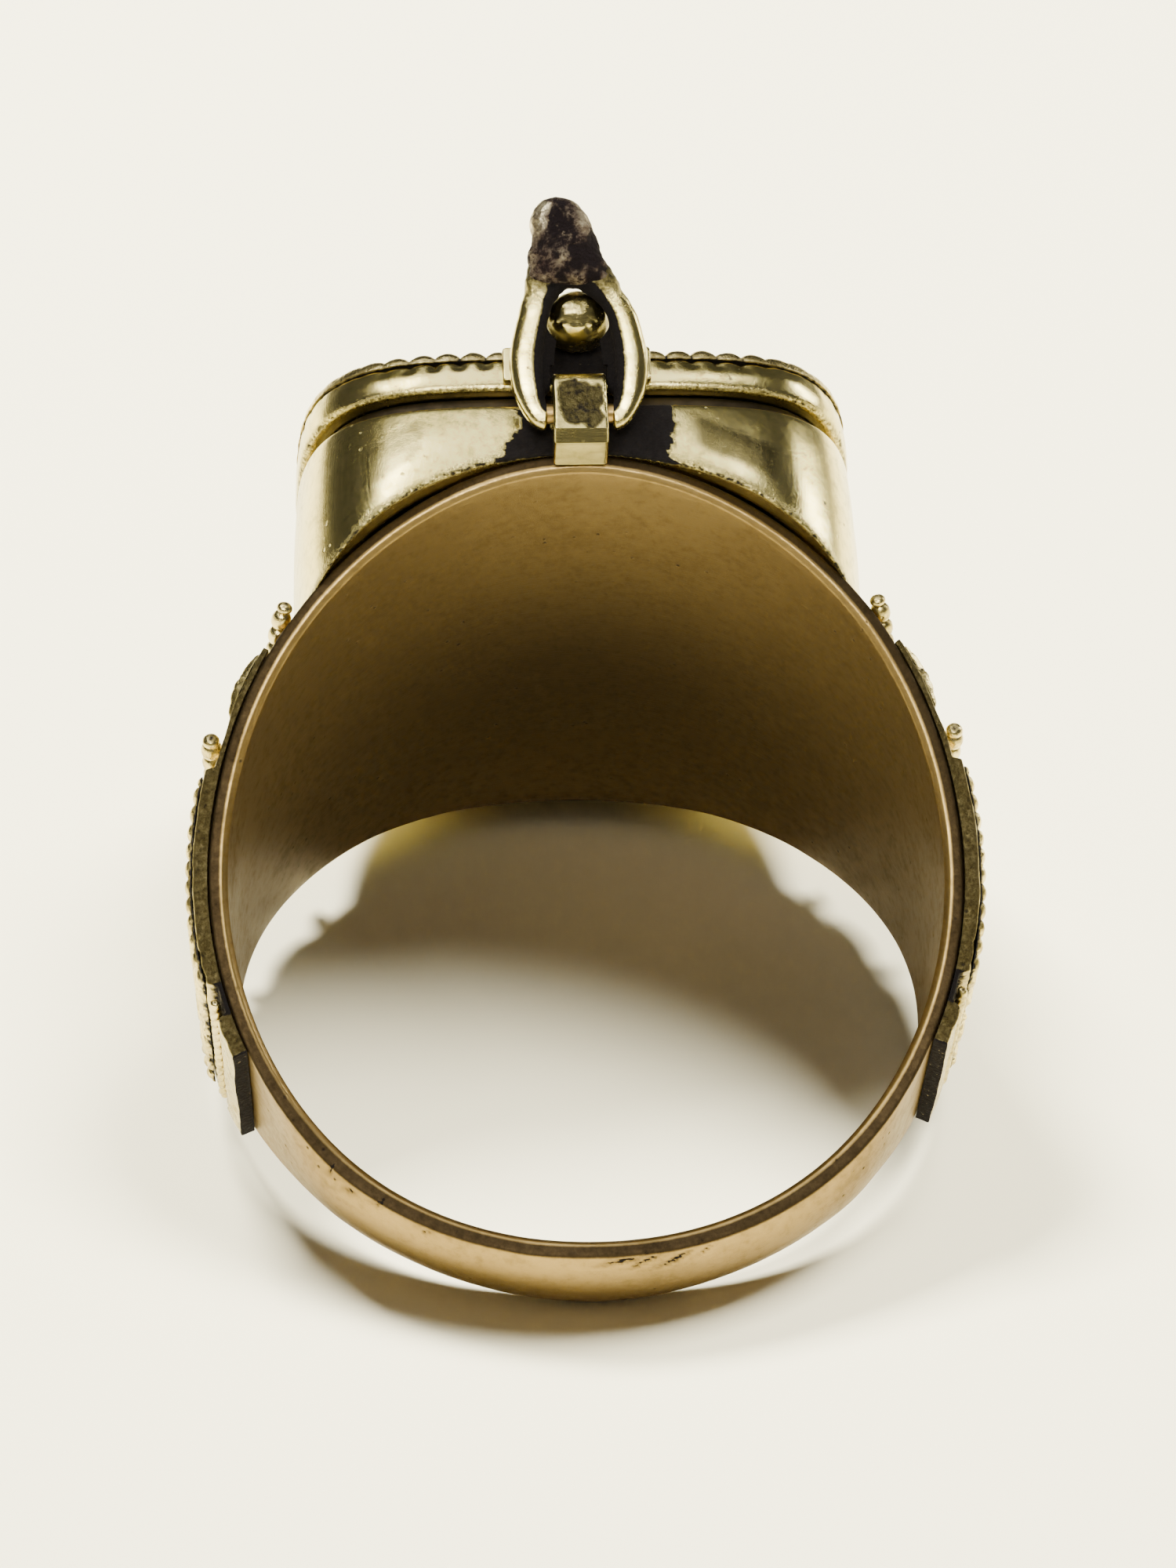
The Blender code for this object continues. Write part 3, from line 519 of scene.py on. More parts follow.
def makeHoop():
    # an octagon-like (radius, y) section carried round the finger; its corners are rounded and its outside
    # rises by crown * (1 - t^2) on the lower half
    theta = np.linspace(0, 360, hoop["steps"], endpoint=False)
    half = halfWidth(theta)
    bore, outer, chamfer = ring["boreRadius"], ring["linerRadius"], ring["boreChamfer"]
    ones = np.ones_like(half)
    corners = [
        (bore + chamfer, -half),
        (bore, chamfer - half),
        (bore, half - chamfer),
        (bore + chamfer, half),
        (outer, half),
        (outer, -half),
    ]
    corners = np.stack([np.stack([r * ones, y], -1) for r, y in corners], 1)
    edges = [hoop["boreEdge"]] * 4 + [hoop["edge"]] * 2
    section = rounded(corners, edges, 3, [1, 34, 1, 4, 34, 4])
    radius, y = section[..., 0], section[..., 1]
    share = y / half[:, None]
    turned = np.abs((theta[:, None] + 180) % 360 - 180)
    crown = hoop["crown"] * ease((turned - hoop["crownFrom"]) / (hoop["crownTo"] - hoop["crownFrom"]))
    outside = ease((radius - bore - 0.2) / 0.28)
    points = onBand(theta[:, None], radius, y)
    wobble = lumps(points, 3.0, 11) * hoop["wobble"]
    radius = radius + outside * (crown * (1 - share**2) + wobble)
    y = y + np.sign(y) * np.abs(share) ** 10 * (lumps(points, 2.0, 12) * 0.03 - 0.02)
    cut = np.zeros_like(radius)
    for place, nickY, tilt, length, width, depth in hoop["nicks"]:
        run = np.radians(theta[:, None] - place) * outer
        rise = y - nickY
        c, s = math.cos(math.radians(tilt)), math.sin(math.radians(tilt))
        cut += depth * hill(run * s + rise * c, length) * hill(run * c - rise * s, width)
    radius = radius - cut * outside
    flank = ease(((np.abs(share) - 1) * half[:, None] + 0.10) / 0.05)
    flank = flank * ease((radius - bore - 0.18) / 0.05)
    stain = np.clip(0.46 * flank + cut * outside * 30, 0, 1)
    # painted shade in the bore, for the shadowed floor it mirrors: an even darkening and a deeper one about a
    # y
    inside = 1 - ease((radius - bore - 0.02) / 0.08)
    darkY, darkLong, darkTurn = hoop["boreDark"]
    dark = hoop["boreShadeDeep"] * hill(y - darkY, darkLong) * hill(turned, darkTurn)
    tone = inside * (hoop["borePale"] + dark)
    tone = tone + hoop["flankTone"] * flank + hoop["outsideTone"] * outside * (1 - flank)
    grid = onBand(theta[:, None], radius, y)
    return patch(grid, True, 1.0, stain, tone)


makePiece("hoop", "band", "satin_brass", makeHoop())


def makeBox():
    # a wall section (inset, z) at every turn of the outline: its foot follows the round liner,
    # z = sqrt(R^2 - x^2), and its sides swell a little and waver like hand-filed metal
    turn = planTurns(box["steps"])[0]

    def foot(inset):
        x, _ = plan(turn, inset)
        return np.sqrt(ring["onLiner"] ** 2 - x * x)

    ones = np.ones_like(turn)
    wall, top = box["wall"], box["top"]
    corners = [(0.0, foot(0.0)), (0.0, top), (wall, top), (wall, foot(wall))]
    corners = np.stack([np.stack([inset * ones, z * ones], -1) for inset, z in corners], 1)
    radii = [box["footRadius"], box["topRadius"], box["topRadius"], 0.05]
    section = rounded(corners, radii, 4, [26, 3, 10, 3])
    inset, z = section[..., 0], section[..., 1]
    points = onPlan(turn[:, None], inset, z)
    low = foot(0.0)[:, None]
    share = np.clip((z - low) / (top - low), 0, 1)
    outside = 1 - ease(inset / 0.35)
    front = hill(np.abs(points[..., 0]), 9.0)
    hollow = 0.085 * (1 - np.sin(np.pi * share) ** 0.8)
    waver = box["wobble"] * (lumps(points, 3.2, 21, 2) + 0.35 * lumps(points, 1.1, 22, 2))
    inset = inset + outside * (hollow + waver * front + 0.02)
    near = points[..., 1] < 0
    px, pz = points[..., 0], points[..., 2]
    ragged = 0.42 * lumps(points, 0.6, 23, 4)
    black = 0
    for at, wide, flare in box["blacks"]:
        spread = wide - np.abs(px - at) + flare * (box["blackFrom"] - pz) + ragged
        black = np.maximum(black, ease(spread / 0.16))
    seat = hill(z - low, 0.20) * 0.75
    stain = outside * np.clip(near * black + seat, 0, 1)
    drop = pz - low + 0.15 * lumps(points, 0.8, 24, 2)
    # painted dark reflections on the front of the wall, laid into the darkening share
    tone = 0
    for at, rise, wide, tall, wideFade, tallFade, depth in box["pools"]:
        across = ease((wide - np.abs(px - at)) / wideFade)
        tone = tone + depth * across * ease((tall - np.abs(drop - rise)) / tallFade)
    return patch(onPlan(turn[:, None], inset, z), True, 1.0, stain, outside * near * tone)


makePiece("box_wall", "band", "polished_brass", makeBox())


lid = {
    "setback": 0.05,
    "rimWall": 0.50,
    "bottom": 12.18,
    "top": 13.13,
    "underside": 12.75,
    "seat": (0.50, 11.65, 12.15),
    "lip": (0.78, 1.20, 11.20, 12.72),
}
border = {"outer": 0.09, "inner": 0.71, "foot": 13.16, "height": 0.40, "pitch": 0.68, "steps": 1440}
signet = {"inset": 0.83, "foot": 13.16, "top": 13.48, "edge": 0.10, "rows": 150, "columns": 480}


def scallops(turn):
    # 1 on the crest of each bead of the border and 0 between beads, fading out towards the corners
    everyTurn, everyRun, total = planTurns(border["steps"])
    run = np.interp(turn, everyTurn, everyRun)
    wave = np.abs(np.cos(np.pi * run / total * round(total / border["pitch"]))) ** 0.55
    x, y = plan(turn, 0.4)
    corner = ease((np.minimum(np.abs(x) / box["halfX"], np.abs(y) / box["halfY"]) - 0.55) / 0.2)
    return 1 - (1 - wave) * (1 - 0.85 * corner)


def makeLidCap():
    # an upside-down tray: an open (inset, z) line from the top, over the rim and in under the plate
    turn = planTurns(box["steps"])[0]
    outer, inner = lid["setback"], lid["setback"] + lid["rimWall"]
    line = [
        (3.0, lid["top"]),
        (outer, lid["top"]),
        (outer, lid["bottom"]),
        (inner, lid["bottom"]),
        (inner, lid["underside"]),
        (3.0, lid["underside"]),
    ]
    section = rounded(line, [0, 0.10, 0.16, 0.05, 0.08, 0], 5, [8, 12, 2, 5, 8, 1], False)
    inset, z = section[:, 0, None], section[:, 1, None]
    points = onPlan(turn, inset, z)
    outside = 1 - ease((inset - outer) / 0.3)
    share = np.clip((z - lid["bottom"]) / (lid["top"] - lid["bottom"]), 0, 1)
    waver = 0.03 * lumps(points, 2.2, 31, 2) + 0.012 * lumps(points, 0.7, 32, 2)
    inset = inset + outside * (waver + 0.03 + 0.05 * (1 - np.sin(np.pi * share)))
    inset = inset + outside * 0.10 * (1 - scallops(turn)) * ease((z - 12.72) / 0.28)
    ragged = 0.035 * lumps(points, 0.5, 33, 2) * hill(z - lid["bottom"], 0.15) * outside
    stain = outside * hill(z - lid["bottom"], 0.10) * 0.8
    return patch(onPlan(turn, inset, z + np.abs(ragged)), False, 1.0, stain)


def makeFlange():
    # a stepped (inset, z) section carried round the outline: a seat on the wall and a lip inside it
    out, low, high = lid["seat"]
    lipOut, lipIn, lipLow, lipHigh = lid["lip"]
    section = [
        (lipIn, lipLow), (lipOut, lipLow), (lipOut, low), (out, low),
        (out, high), (lipOut, high), (lipOut, lipHigh), (lipIn, lipHigh),
    ]
    return patch(sweepPlan(section, 0.05, 3, [2, 3, 2, 2, 2, 2, 2, 5], 240))


def makeBorder():
    # a half-round moulding (inset, z) whose height and width swell once every pitch into a row of beads
    turn = planTurns(border["steps"])[0]
    swell = 1 - 0.62 * (1 - scallops(turn)[:, None])
    v = np.linspace(0, np.pi, 15)
    middle, half = (border["outer"] + border["inner"]) / 2, (border["inner"] - border["outer"]) / 2
    inset = middle - np.cos(v) * half * (0.80 + 0.20 * swell)
    z = border["foot"] + np.sin(v) ** 0.75 * border["height"] * swell
    points = onPlan(turn[:, None], inset, z)
    z = z + 0.03 * lumps(points, 0.45, 41, 2) * np.sin(v)
    grid = onPlan(turn[:, None], inset, z)
    base = onPlan(turn[:, None], np.array([border["inner"] - 0.1, border["outer"] + 0.1]), border["foot"])
    relief = np.clip((swell - 0.35) / 0.5, 0, 1) * np.ones_like(v) * (0.35 + 0.65 * np.sin(v))
    relief = np.concatenate([relief, np.zeros((len(turn), 2))], 1)
    return patch(np.concatenate([grid, base], 1), True, relief)


def rosette(x, y):
    # an engraved eight-petalled flower in two rings; the height is 1 on plain metal and 0 in a groove
    reach = np.hypot(x, y) + 1e-9
    turn = np.arctan2(y, x)
    petal = np.abs(np.cos(4 * turn))
    inner = np.abs(reach - (1.1 + 1.9 * petal**0.7))
    outer = np.abs(reach - (2.6 + 2.5 * np.abs(np.sin(4 * turn)) ** 0.8))
    rim = np.minimum(np.abs(reach - 5.55), np.abs(reach - 0.75))
    groove = np.minimum(np.minimum(inner, outer), rim)
    ribs = np.abs(np.sin(32 * turn)) + ease((5.75 - reach) / 0.1) + ease((reach - 6.3) / 0.1)
    return np.minimum(ease(groove / 0.16), ease(ribs / 0.5))


def makeSignet():
    # a plate in polar rows: each row is a smaller copy of the outline, with the rosette cut in its top
    turn = planTurns(signet["columns"])[0]
    share = np.linspace(0.01, 1, signet["rows"])[:, None]
    x, y = plan(turn, signet["inset"] + signet["edge"])
    x, y = x * share, y * share
    height = rosette(x, y)
    swell = 0.02 * (1 - share**2)
    top = np.stack([x, y, signet["top"] - 0.09 * (1 - height) + swell], -1)
    bend = np.linspace(0, np.pi / 2, 6)[1:, None]
    inset = signet["inset"] + signet["edge"] * (1 - np.sin(bend))
    edge = onPlan(turn, inset, signet["top"] - signet["edge"] * (1 - np.cos(bend)))
    foot = onPlan(turn, signet["inset"], np.array([[signet["foot"]]]))
    relief = np.concatenate([height, np.ones((6, len(turn)))])
    return patch(np.concatenate([top, edge, foot]), False, relief)


for name, slotName, build in (
    ("lid_cap", "polished_brass", makeLidCap),
    # the flange's near-black finish is painted shade of the seam
    ("lid_flange", "dark_brass", makeFlange),
    ("beaded_border", "antiqued_brass", makeBorder),
    ("signet_plate", "signet_face", makeSignet),
):
    makePiece(name, "lid", slotName, build())


shoulder = {
    "from": 56.5,
    "to": 116.0,
    "stepAt": 74.4,
    "slope": 0.8,
    "thin": 0.17,
    "full": 0.40,
    "groove": (107.6, 1.9, 0.12),
    "steps": 420,
    "inset": 0.10,
    "dashPitch": 0.42,
}
leaf = {"from": 57.5, "to": 66.8, "foot": 10.23, "height": 0.08, "crown": 0.16, "pitch": 1.15}
scroll = {"from": 75.9, "to": 104.6, "foot": 10.46, "height": 0.17, "pitch": 0.62, "bead": 0.46}


def shoulderThickness(theta):
    # thin, then full, with a square groove for the foot wire
    middle, half, floor = shoulder["groove"]
    rise = ease((theta - shoulder["stepAt"]) / shoulder["slope"])
    thick = shoulder["thin"] + (shoulder["full"] - shoulder["thin"]) * rise
    inGroove = ease((half + shoulder["slope"] - np.abs(theta - middle)) / shoulder["slope"])
    return thick + (floor - thick) * inGroove, inGroove


def makeShoulder(side):
    # a (radius, y) rectangle carried down the band, with short strokes cut in its lower outside
    theta = np.linspace(shoulder["from"], shoulder["to"], shoulder["steps"])
    half = halfWidth(theta)
    thick, inGroove = shoulderThickness(theta)
    bottom = ring["onLiner"] * np.ones_like(half)
    top = bottom + thick
    corners = np.stack(
        [np.stack(pair, -1) for pair in ((bottom, -half), (bottom, half), (top, half), (top, -half))], 1
    )
    section = rounded(corners, [0.02, 0.02, 0.09, 0.09], 4, [6, 5, 30, 5])
    radius, y = section[..., 0], section[..., 1]
    column = theta[:, None]
    points = onBand(column, radius, y, side)
    height = np.clip((radius - bottom[:, None]) / thick[:, None], 0, 1)
    strokes = np.abs(np.sin(np.pi * y / shoulder["dashPitch"] + column * 0.55)) ** 0.6
    low = ease((column - 98) / 3) * ease((shoulder["to"] - column) / 1.2)
    low = low * (1 - inGroove[:, None]) * ease((height - 0.6) / 0.3)
    radius = radius - low * 0.05 * (1 - strokes) + 0.03 * lumps(points, 0.9, 51) * height
    y = y + np.sign(y) * (lumps(points, 0.55, 52) * 0.035 - 0.01)
    ends = ease((column - (shoulder["to"] - 0.35)) / 0.2)
    flank = ease((np.abs(section[..., 1]) - half[:, None] + 0.05) / 0.04)
    relief = 1 - low * (1 - strokes) * 0.95 - inGroove[:, None] * 0.9
    stain = np.clip(ends + flank * 0.50 + inGroove[:, None] * 0.8, 0, 1)
    tone = flank * hoop["flankTone"] * (1 - ends)
    return patch(onBand(column, radius, y, side), False, relief, stain, tone)


def makePad(values, side, relief, rows, columns, extra):
    # a strip on the plate: relief gives a height from 0 to 1 over (angle, y), and its edges are rounded off
    theta = np.linspace(values["from"], values["to"], rows)[:, None]
    half = halfWidth(theta) - shoulder["inset"]
    share = np.linspace(-1, 1, columns)[None, :]
    y = share * half
    height = relief(theta, y, half)
    run = np.minimum(theta - values["from"], values["to"] - theta) * np.pi / 180 * values["foot"]
    brim = np.minimum(run, half - np.abs(y))
    fall = np.sqrt(np.clip(1 - (1 - np.clip(brim / 0.12, 0, 1)) ** 2, 0, 1))
    length = (theta - values["from"]) / (values["to"] - values["from"])
    crown = values.get("crown", 0) * np.sin(np.pi * length)
    radius = values["foot"] + fall * (0.02 + crown * (0.55 + 0.45 * height) + extra * height)
    radius = radius + 0.012 * fall * lumps(onBand(theta, radius, y, side), 0.4, 61, 2)
    top = onBand(theta, radius, y, side)
    base = onBand(theta, values["foot"], half * np.array([[0.98, 0.0, -0.98]]), side)
    shade = np.concatenate([height * (0.35 + 0.65 * fall), np.zeros((rows, 3))], 1)
    return patch(np.concatenate([top, base], 1), False, shade)


def leafRelief(theta, y, half):
    # overlapping petals across the shoulder, each with a middle vein
    place = y / leaf["pitch"]
    across = np.abs(place - np.round(place)) * 2
    petal = np.sqrt(np.clip(1 - across**2.4, 0, 1))
    vein = ease(across / 0.12)
    stripes = 0.75 + 0.25 * np.abs(np.cos((theta - leaf["from"]) * 1.3 + across * 3))
    return petal * (0.35 + 0.65 * vein) * stripes


def scrollRelief(theta, y, half):
    # C-scrolls: rings of a spiral, cos^2(pi (d/pitch - turn)), round centres on a staggered row, with beads
    # along both edges and small grains between the scrolls
    run = np.radians(theta) * scroll["foot"]
    start = math.radians(scroll["from"]) * scroll["foot"]
    total = np.zeros(np.broadcast_shapes(theta.shape, y.shape))
    for k in range(4):
        for hand in (-1, 1):
            centreRun = start + 0.75 + 1.32 * k
            centreY = hand * (half * 0.5)
            dx, dy = (run - centreRun), (y - centreY) * hand
            reach = np.hypot(dx, dy)
            winding = np.arctan2(dy, dx) / (2 * np.pi)
            spiral = np.cos(np.pi * (reach / scroll["pitch"] - winding + 0.25 * k)) ** 2
            total = np.maximum(total, spiral**0.7 * ease((1.02 - reach) / 0.25))
    middle = hill(y, 0.14) * (0.75 + 0.25 * np.cos(2 * np.pi * run / 0.5))
    total = np.maximum(total, middle)
    edge = half - np.abs(y) - 0.24
    bead = run / scroll["bead"]
    along = (bead - np.round(bead)) * scroll["bead"]
    drop = np.sqrt(np.clip(1 - (along**2 + edge**2) / 0.052, 0, 1))
    total = np.where(edge < 0.26, drop, total)
    grains = np.cos(2 * np.pi * run / 0.36) * np.cos(2 * np.pi * y / 0.36)
    return np.maximum(total, 0.55 * np.clip(grains, 0, 1))


def sweepWire(route, out, radiusAt, sides=18):
    # rings round a route; radiusAt(distance, turn) is the reach from its middle
    ahead = np.gradient(route, axis=0)
    ahead /= np.linalg.norm(ahead, axis=1, keepdims=True)
    across = np.cross(ahead, out)
    across /= np.linalg.norm(across, axis=1, keepdims=True)
    out = np.cross(across, ahead)
    step = np.linalg.norm(np.diff(route, axis=0), axis=1)
    run = np.concatenate([[0], np.cumsum(step)])
    turn = np.linspace(0, 2 * np.pi, sides, endpoint=False)[None, :]
    reach = radiusAt(run[:, None], turn) * np.ones((len(route), sides))
    ends = np.minimum(run, run[-1] - run)[:, None]
    size = reach.max()
    reach = reach * np.sqrt(np.clip(1 - (1 - np.clip(ends / size, 0, 1)) ** 2, 0.02, 1))
    ring3d = np.cos(turn)[..., None] * out[:, None] + np.sin(turn)[..., None] * across[:, None]
    return route[:, None] + reach[..., None] * ring3d, reach / size


def beads(radius, pitch, waist=0.30):
    # round beads: sqrt(1 - u^2) over each pitch, down to a waist
    def radiusAt(run, turn):
        u = (run / pitch - np.round(run / pitch)) * 2
        return radius * (waist + (1 - waist) * np.sqrt(np.clip(1 - u * u, 0, 1)))

    return radiusAt


def rope(radius, pitch):
    # two strands twisted together: |cos(turn - pi d/pitch)| above a core
    def radiusAt(run, turn):
        return radius * (0.72 + 0.28 * np.abs(np.cos(turn - np.pi * run / pitch)))

    return radiusAt


crossWires = {
    "boss_wire": {"at": 70.6, "radius": 0.29, "centre": 10.52, "steps": 300, "pitch": 0.60},
    "foot_wire": {"at": 107.6, "radius": 0.16, "centre": 10.34, "steps": 200, "pitch": 0.40},
}
baseWire = {"radius": 0.27, "centre": 10.30, "halfX": 8.34, "halfY": 9.39, "reach": 6.85, "pitch": 0.56}


def makeCrossWire(values, side, shape):
    # a straight route across the band at one angle
    reach = float(halfWidth(values["at"])) - shoulder["inset"]
    y = np.linspace(-reach, reach, values["steps"])
    route = onBand(values["at"], values["centre"], y, side)
    out = route * [1, 0, 1]
    grid, share = sweepWire(route, out, shape(values["radius"], values["pitch"]))
    return patch(grid, False, share)


def makeBaseWire(side):
    # follows the foot of the box: x = a (1 - |y/b|^n)^(1/n), lying on the liner at z = sqrt(R^2 - x^2)
    y = np.linspace(-baseWire["reach"], baseWire["reach"], 420)
    power = box["squareness"]
    x = baseWire["halfX"] * (1 - np.abs(y / baseWire["halfY"]) ** power) ** (1 / power)
    route = np.stack([side * x, y, np.sqrt(baseWire["centre"] ** 2 - x * x)], -1)
    grid, share = sweepWire(route, route * [1, 0, 1], beads(baseWire["radius"], baseWire["pitch"]), 16)
    return patch(grid, False, share)


for side, word in ((-1, "left"), (1, "right")):
    pads = {
        f"shoulder_{word}": makeShoulder(side),
        f"leaf_{word}": makePad(leaf, side, leafRelief, 70, 300, 0.06),
        f"scroll_panel_{word}": makePad(scroll, side, scrollRelief, 200, 220, 0.16),
        f"boss_wire_{word}": makeCrossWire(crossWires["boss_wire"], side, beads),
        f"foot_wire_{word}": makeCrossWire(crossWires["foot_wire"], side, rope),
        f"base_wire_{word}": makeBaseWire(side),
    }
    for name, surface in pads.items():
        makePiece(name, "band", "antiqued_brass", surface)


def rimAt(outline, middle, count):
    # where rays from the middle meet a closed outline, at even angles and at its own corners
    outline = np.asarray(outline, float) - middle
    corners = np.arctan2(outline[:, 1], outline[:, 0])
    turn = np.unique(np.concatenate([np.linspace(-np.pi, np.pi, count, endpoint=False), corners]).round(5))
    a, b = outline, np.roll(outline, -1, 0)
    ray = np.stack([np.cos(turn), np.sin(turn)], -1)[:, None]
    side = (b - a)[None]
    cross = ray[..., 0] * side[..., 1] - ray[..., 1] * side[..., 0]
    cross = np.where(np.abs(cross) < 1e-12, 1e-12, cross)
    reach = (a[None, :, 0] * side[..., 1] - a[None, :, 1] * side[..., 0]) / cross
    along = (a[None, :, 0] * ray[..., 1] - a[None, :, 1] * ray[..., 0]) / cross
    hit = (reach > 0) & (along > -1e-6) & (along < 1 + 1e-6)
    return turn, np.where(hit, reach, np.inf).min(1)


def plate(outline, middle, hole, start, end, bevel, count=160, rows=10):
    # rings of (reach, depth) from the middle of one face, over a rim with quarter-circle edges of radius
    # `bevel`, to the middle of the other face, then back through a round hole if `hole` is above 0
    turn, reach = rimAt(outline, middle, count)
    inner = hole if hole else 0.02
    low = inner + (bevel * 0.5 if hole else 0)
    face = reach - bevel - low
    ramp = np.linspace(0, 1, rows)
    bend = [(bevel * (1 - math.sin(a)), bevel * (1 - math.cos(a))) for a in np.linspace(0, np.pi / 2, 5)]
    loops = [(low + face * share, start) for share in ramp[:-1]]
    loops += [(reach - inset, start + drop) for inset, drop in bend]
    loops += [(reach - inset, end - drop) for inset, drop in bend[::-1]]
    loops += [(low + face * share, end) for share in ramp[::-1][1:]]
    if hole:
        loops += [(np.full_like(reach, inner), depth) for depth in (end - bevel * 0.5, start + bevel * 0.5)]
    reachGrid = np.stack([ringReach for ringReach, _ in loops])
    depth = np.array([ringDepth for _, ringDepth in loops])[:, None] * np.ones_like(reachGrid)
    return middle[0] + reachGrid * np.cos(turn), middle[1] + reachGrid * np.sin(turn), depth


def arcPoints(middle, radius, start, end, steps):
    # points of a circle between two angles in degrees
    angle = np.radians(np.linspace(start, end, steps + 1))
    return [(middle[0] + radius * math.cos(a), middle[1] + radius * math.sin(a)) for a in angle]


def rod(middle, radius, half, edge, steps=40):
    # a pin along x whose ends are rounded by a quarter circle of radius `edge`
    bend = np.linspace(0, np.pi / 2, 6)
    inset, fall = edge * (1 - np.cos(bend)), edge * (1 - np.sin(bend))
    straight = np.linspace(-half + edge, half - edge, 30)[1:-1]
    x = np.concatenate([-half + inset, straight, half - inset[::-1]])[:, None]
    reach = radius - np.concatenate([fall, 0 * straight, fall[::-1]])[:, None]
    turn = np.linspace(0, 2 * np.pi, steps, endpoint=False)
    y = middle[0] + reach * np.cos(turn)
    z = middle[1] + reach * np.sin(turn)
    return patch(np.stack(np.broadcast_arrays(x, y, z), -1), False)


hinge = {
    "barrel": 1.00,
    "lidBarrel": 0.97,
    "pin": 0.40,
    "hole": 0.44,
    "half": 4.50,
    "lidHalf": 1.92,
    "gap": 0.06,
    "pinHalf": 4.60,
    "leafBack": 8.93,
    "leafFront": 9.43,
    "leafFoot": 10.27,
    "lidReach": 8.88,
    "lidLeafTop": 0.55,
    "lidLeafBottom": 0.28,
}


def makeHingeKnuckle(side):
    # a plate across x: a barrel round the pin that runs down into a leaf on the box's wall
    middle = ring["hinge"]
    outline = arcPoints(middle, hinge["barrel"], 0, 190, 38)
    outline += [(hinge["leafBack"], middle[1] - 0.9), (hinge["leafBack"], hinge["leafFoot"])]
    outline += [(hinge["leafFront"], hinge["leafFoot"])] + arcPoints(middle, hinge["barrel"], 300, 354, 12)
    start, end = sorted((side * hinge["half"], side * (hinge["lidHalf"] + hinge["gap"])))
    y, z, x = plate(outline, middle, hinge["hole"], start, end, 0.07)
    points = np.stack([x, y, z], -1)
    stain = 0.8 * hill(y - hinge["leafBack"], 0.25)
    return patch(points, True, 1.0, stain)


def makeLidKnuckle():
    # a plate across x: the barrel's arc, closed by a leaf that leaves it at asin(height / reach)
    middle, reach = ring["hinge"], hinge["lidBarrel"]
    top = math.degrees(math.asin(hinge["lidLeafTop"] / reach))
    bottom = math.degrees(math.asin(hinge["lidLeafBottom"] / reach))
    outline = arcPoints(middle, reach, bottom - 180, 180 - top, 48)
    outline += [(hinge["lidReach"], middle[1] + hinge["lidLeafTop"])]
    outline += [(hinge["lidReach"], middle[1] - hinge["lidLeafBottom"])]
    y, z, x = plate(outline, middle, hinge["hole"], -hinge["lidHalf"], hinge["lidHalf"], 0.07)
    return patch(np.stack([x, y, z], -1), True)


makePiece("hinge_knuckle_left", "band", "satin_brass", makeHingeKnuckle(-1))
makePiece("hinge_knuckle_right", "band", "satin_brass", makeHingeKnuckle(1))
makePiece("lid_knuckle", "lid", "satin_brass", makeLidKnuckle())
makePiece("hinge_pin", "band", "polished_brass", rod(ring["hinge"], hinge["pin"], hinge["pinHalf"], 0.10))


bracket = {
    "half": 0.725,
    "back": -8.93,
    "front": -10.20,
    "bottom": 9.57,
    "top": 11.90,
    "round": 0.55,
    "chamfer": 0.28,
    "hole": 0.30,
    "edge": 0.10,
    "pin": 0.26,
    "pinHalf": 1.185,
    # the rough cast skin on the front: height of its middle, half-width and half-height
    "cast": (10.70, 0.60, 0.86),
}
clasp = {
    "lean": 22.0,
    "strap": 0.80,
    "depth": 0.72,
    "web": 0.34,
    "ballAt": 2.745,
    "ballRoom": 0.91,
    # the straps stay outside the bracket's sides up to its top
    "bracketRoom": 0.77,
    "bracketTop": 1.36,
    "bend": 0.16,
    "bendFrom": 2.65,
    # half of the loop's middle line: x, and distance along from the pivot
    "route": [
        (0.84, -0.14), (1.03, -0.08), (1.23, 0.22), (1.36, 0.74), (1.41, 1.30),
        (1.36, 1.85), (1.19, 2.60), (0.93, 3.20), (0.68, 3.62), (0.36, 3.88), (0.0, 3.94),
    ],
    "steps": 300,
    "sides": 44,
}
nub = {
    "shift": 0.12,
    # x, distance along, half-width, half-length and depth
    "dent": (-0.06, 5.0, 0.45, 0.62, 0.24),
    "ridge": (0.55, 5.15, 0.14, 0.45, 0.10),
    # distance along the clasp, half-width, half-depth
    "rows": [
        (3.46, 0.80, 0.22), (3.62, 1.10, 0.44), (4.05, 1.05, 0.58), (4.60, 0.93, 0.62),
        (5.18, 0.80, 0.58), (5.52, 0.66, 0.48), (5.80, 0.42, 0.30), (5.93, 0.03, 0.03),
    ],
}
stud = {
    "back": -9.13,
    "post": 0.42,
    "y": -9.874,
    "z": 13.60,
    "radius": 0.92,
    "flat": 0.82,
    # painted shade of a dimple in the ball's front, which the mesh doesn't have: x, height from its middle,
    # half-width, half-height, darkness
    "dimple": (0.02, -0.12, 0.30, 0.24, 0.50),
}
pad = {
    "back": -8.88,
    "front": -9.10,
    "half": 2.0,
    "low": 12.26,
    "high": 13.33,
    "tongue": 0.62,
    "slope": 0.12,
    "tip": 13.93,
}


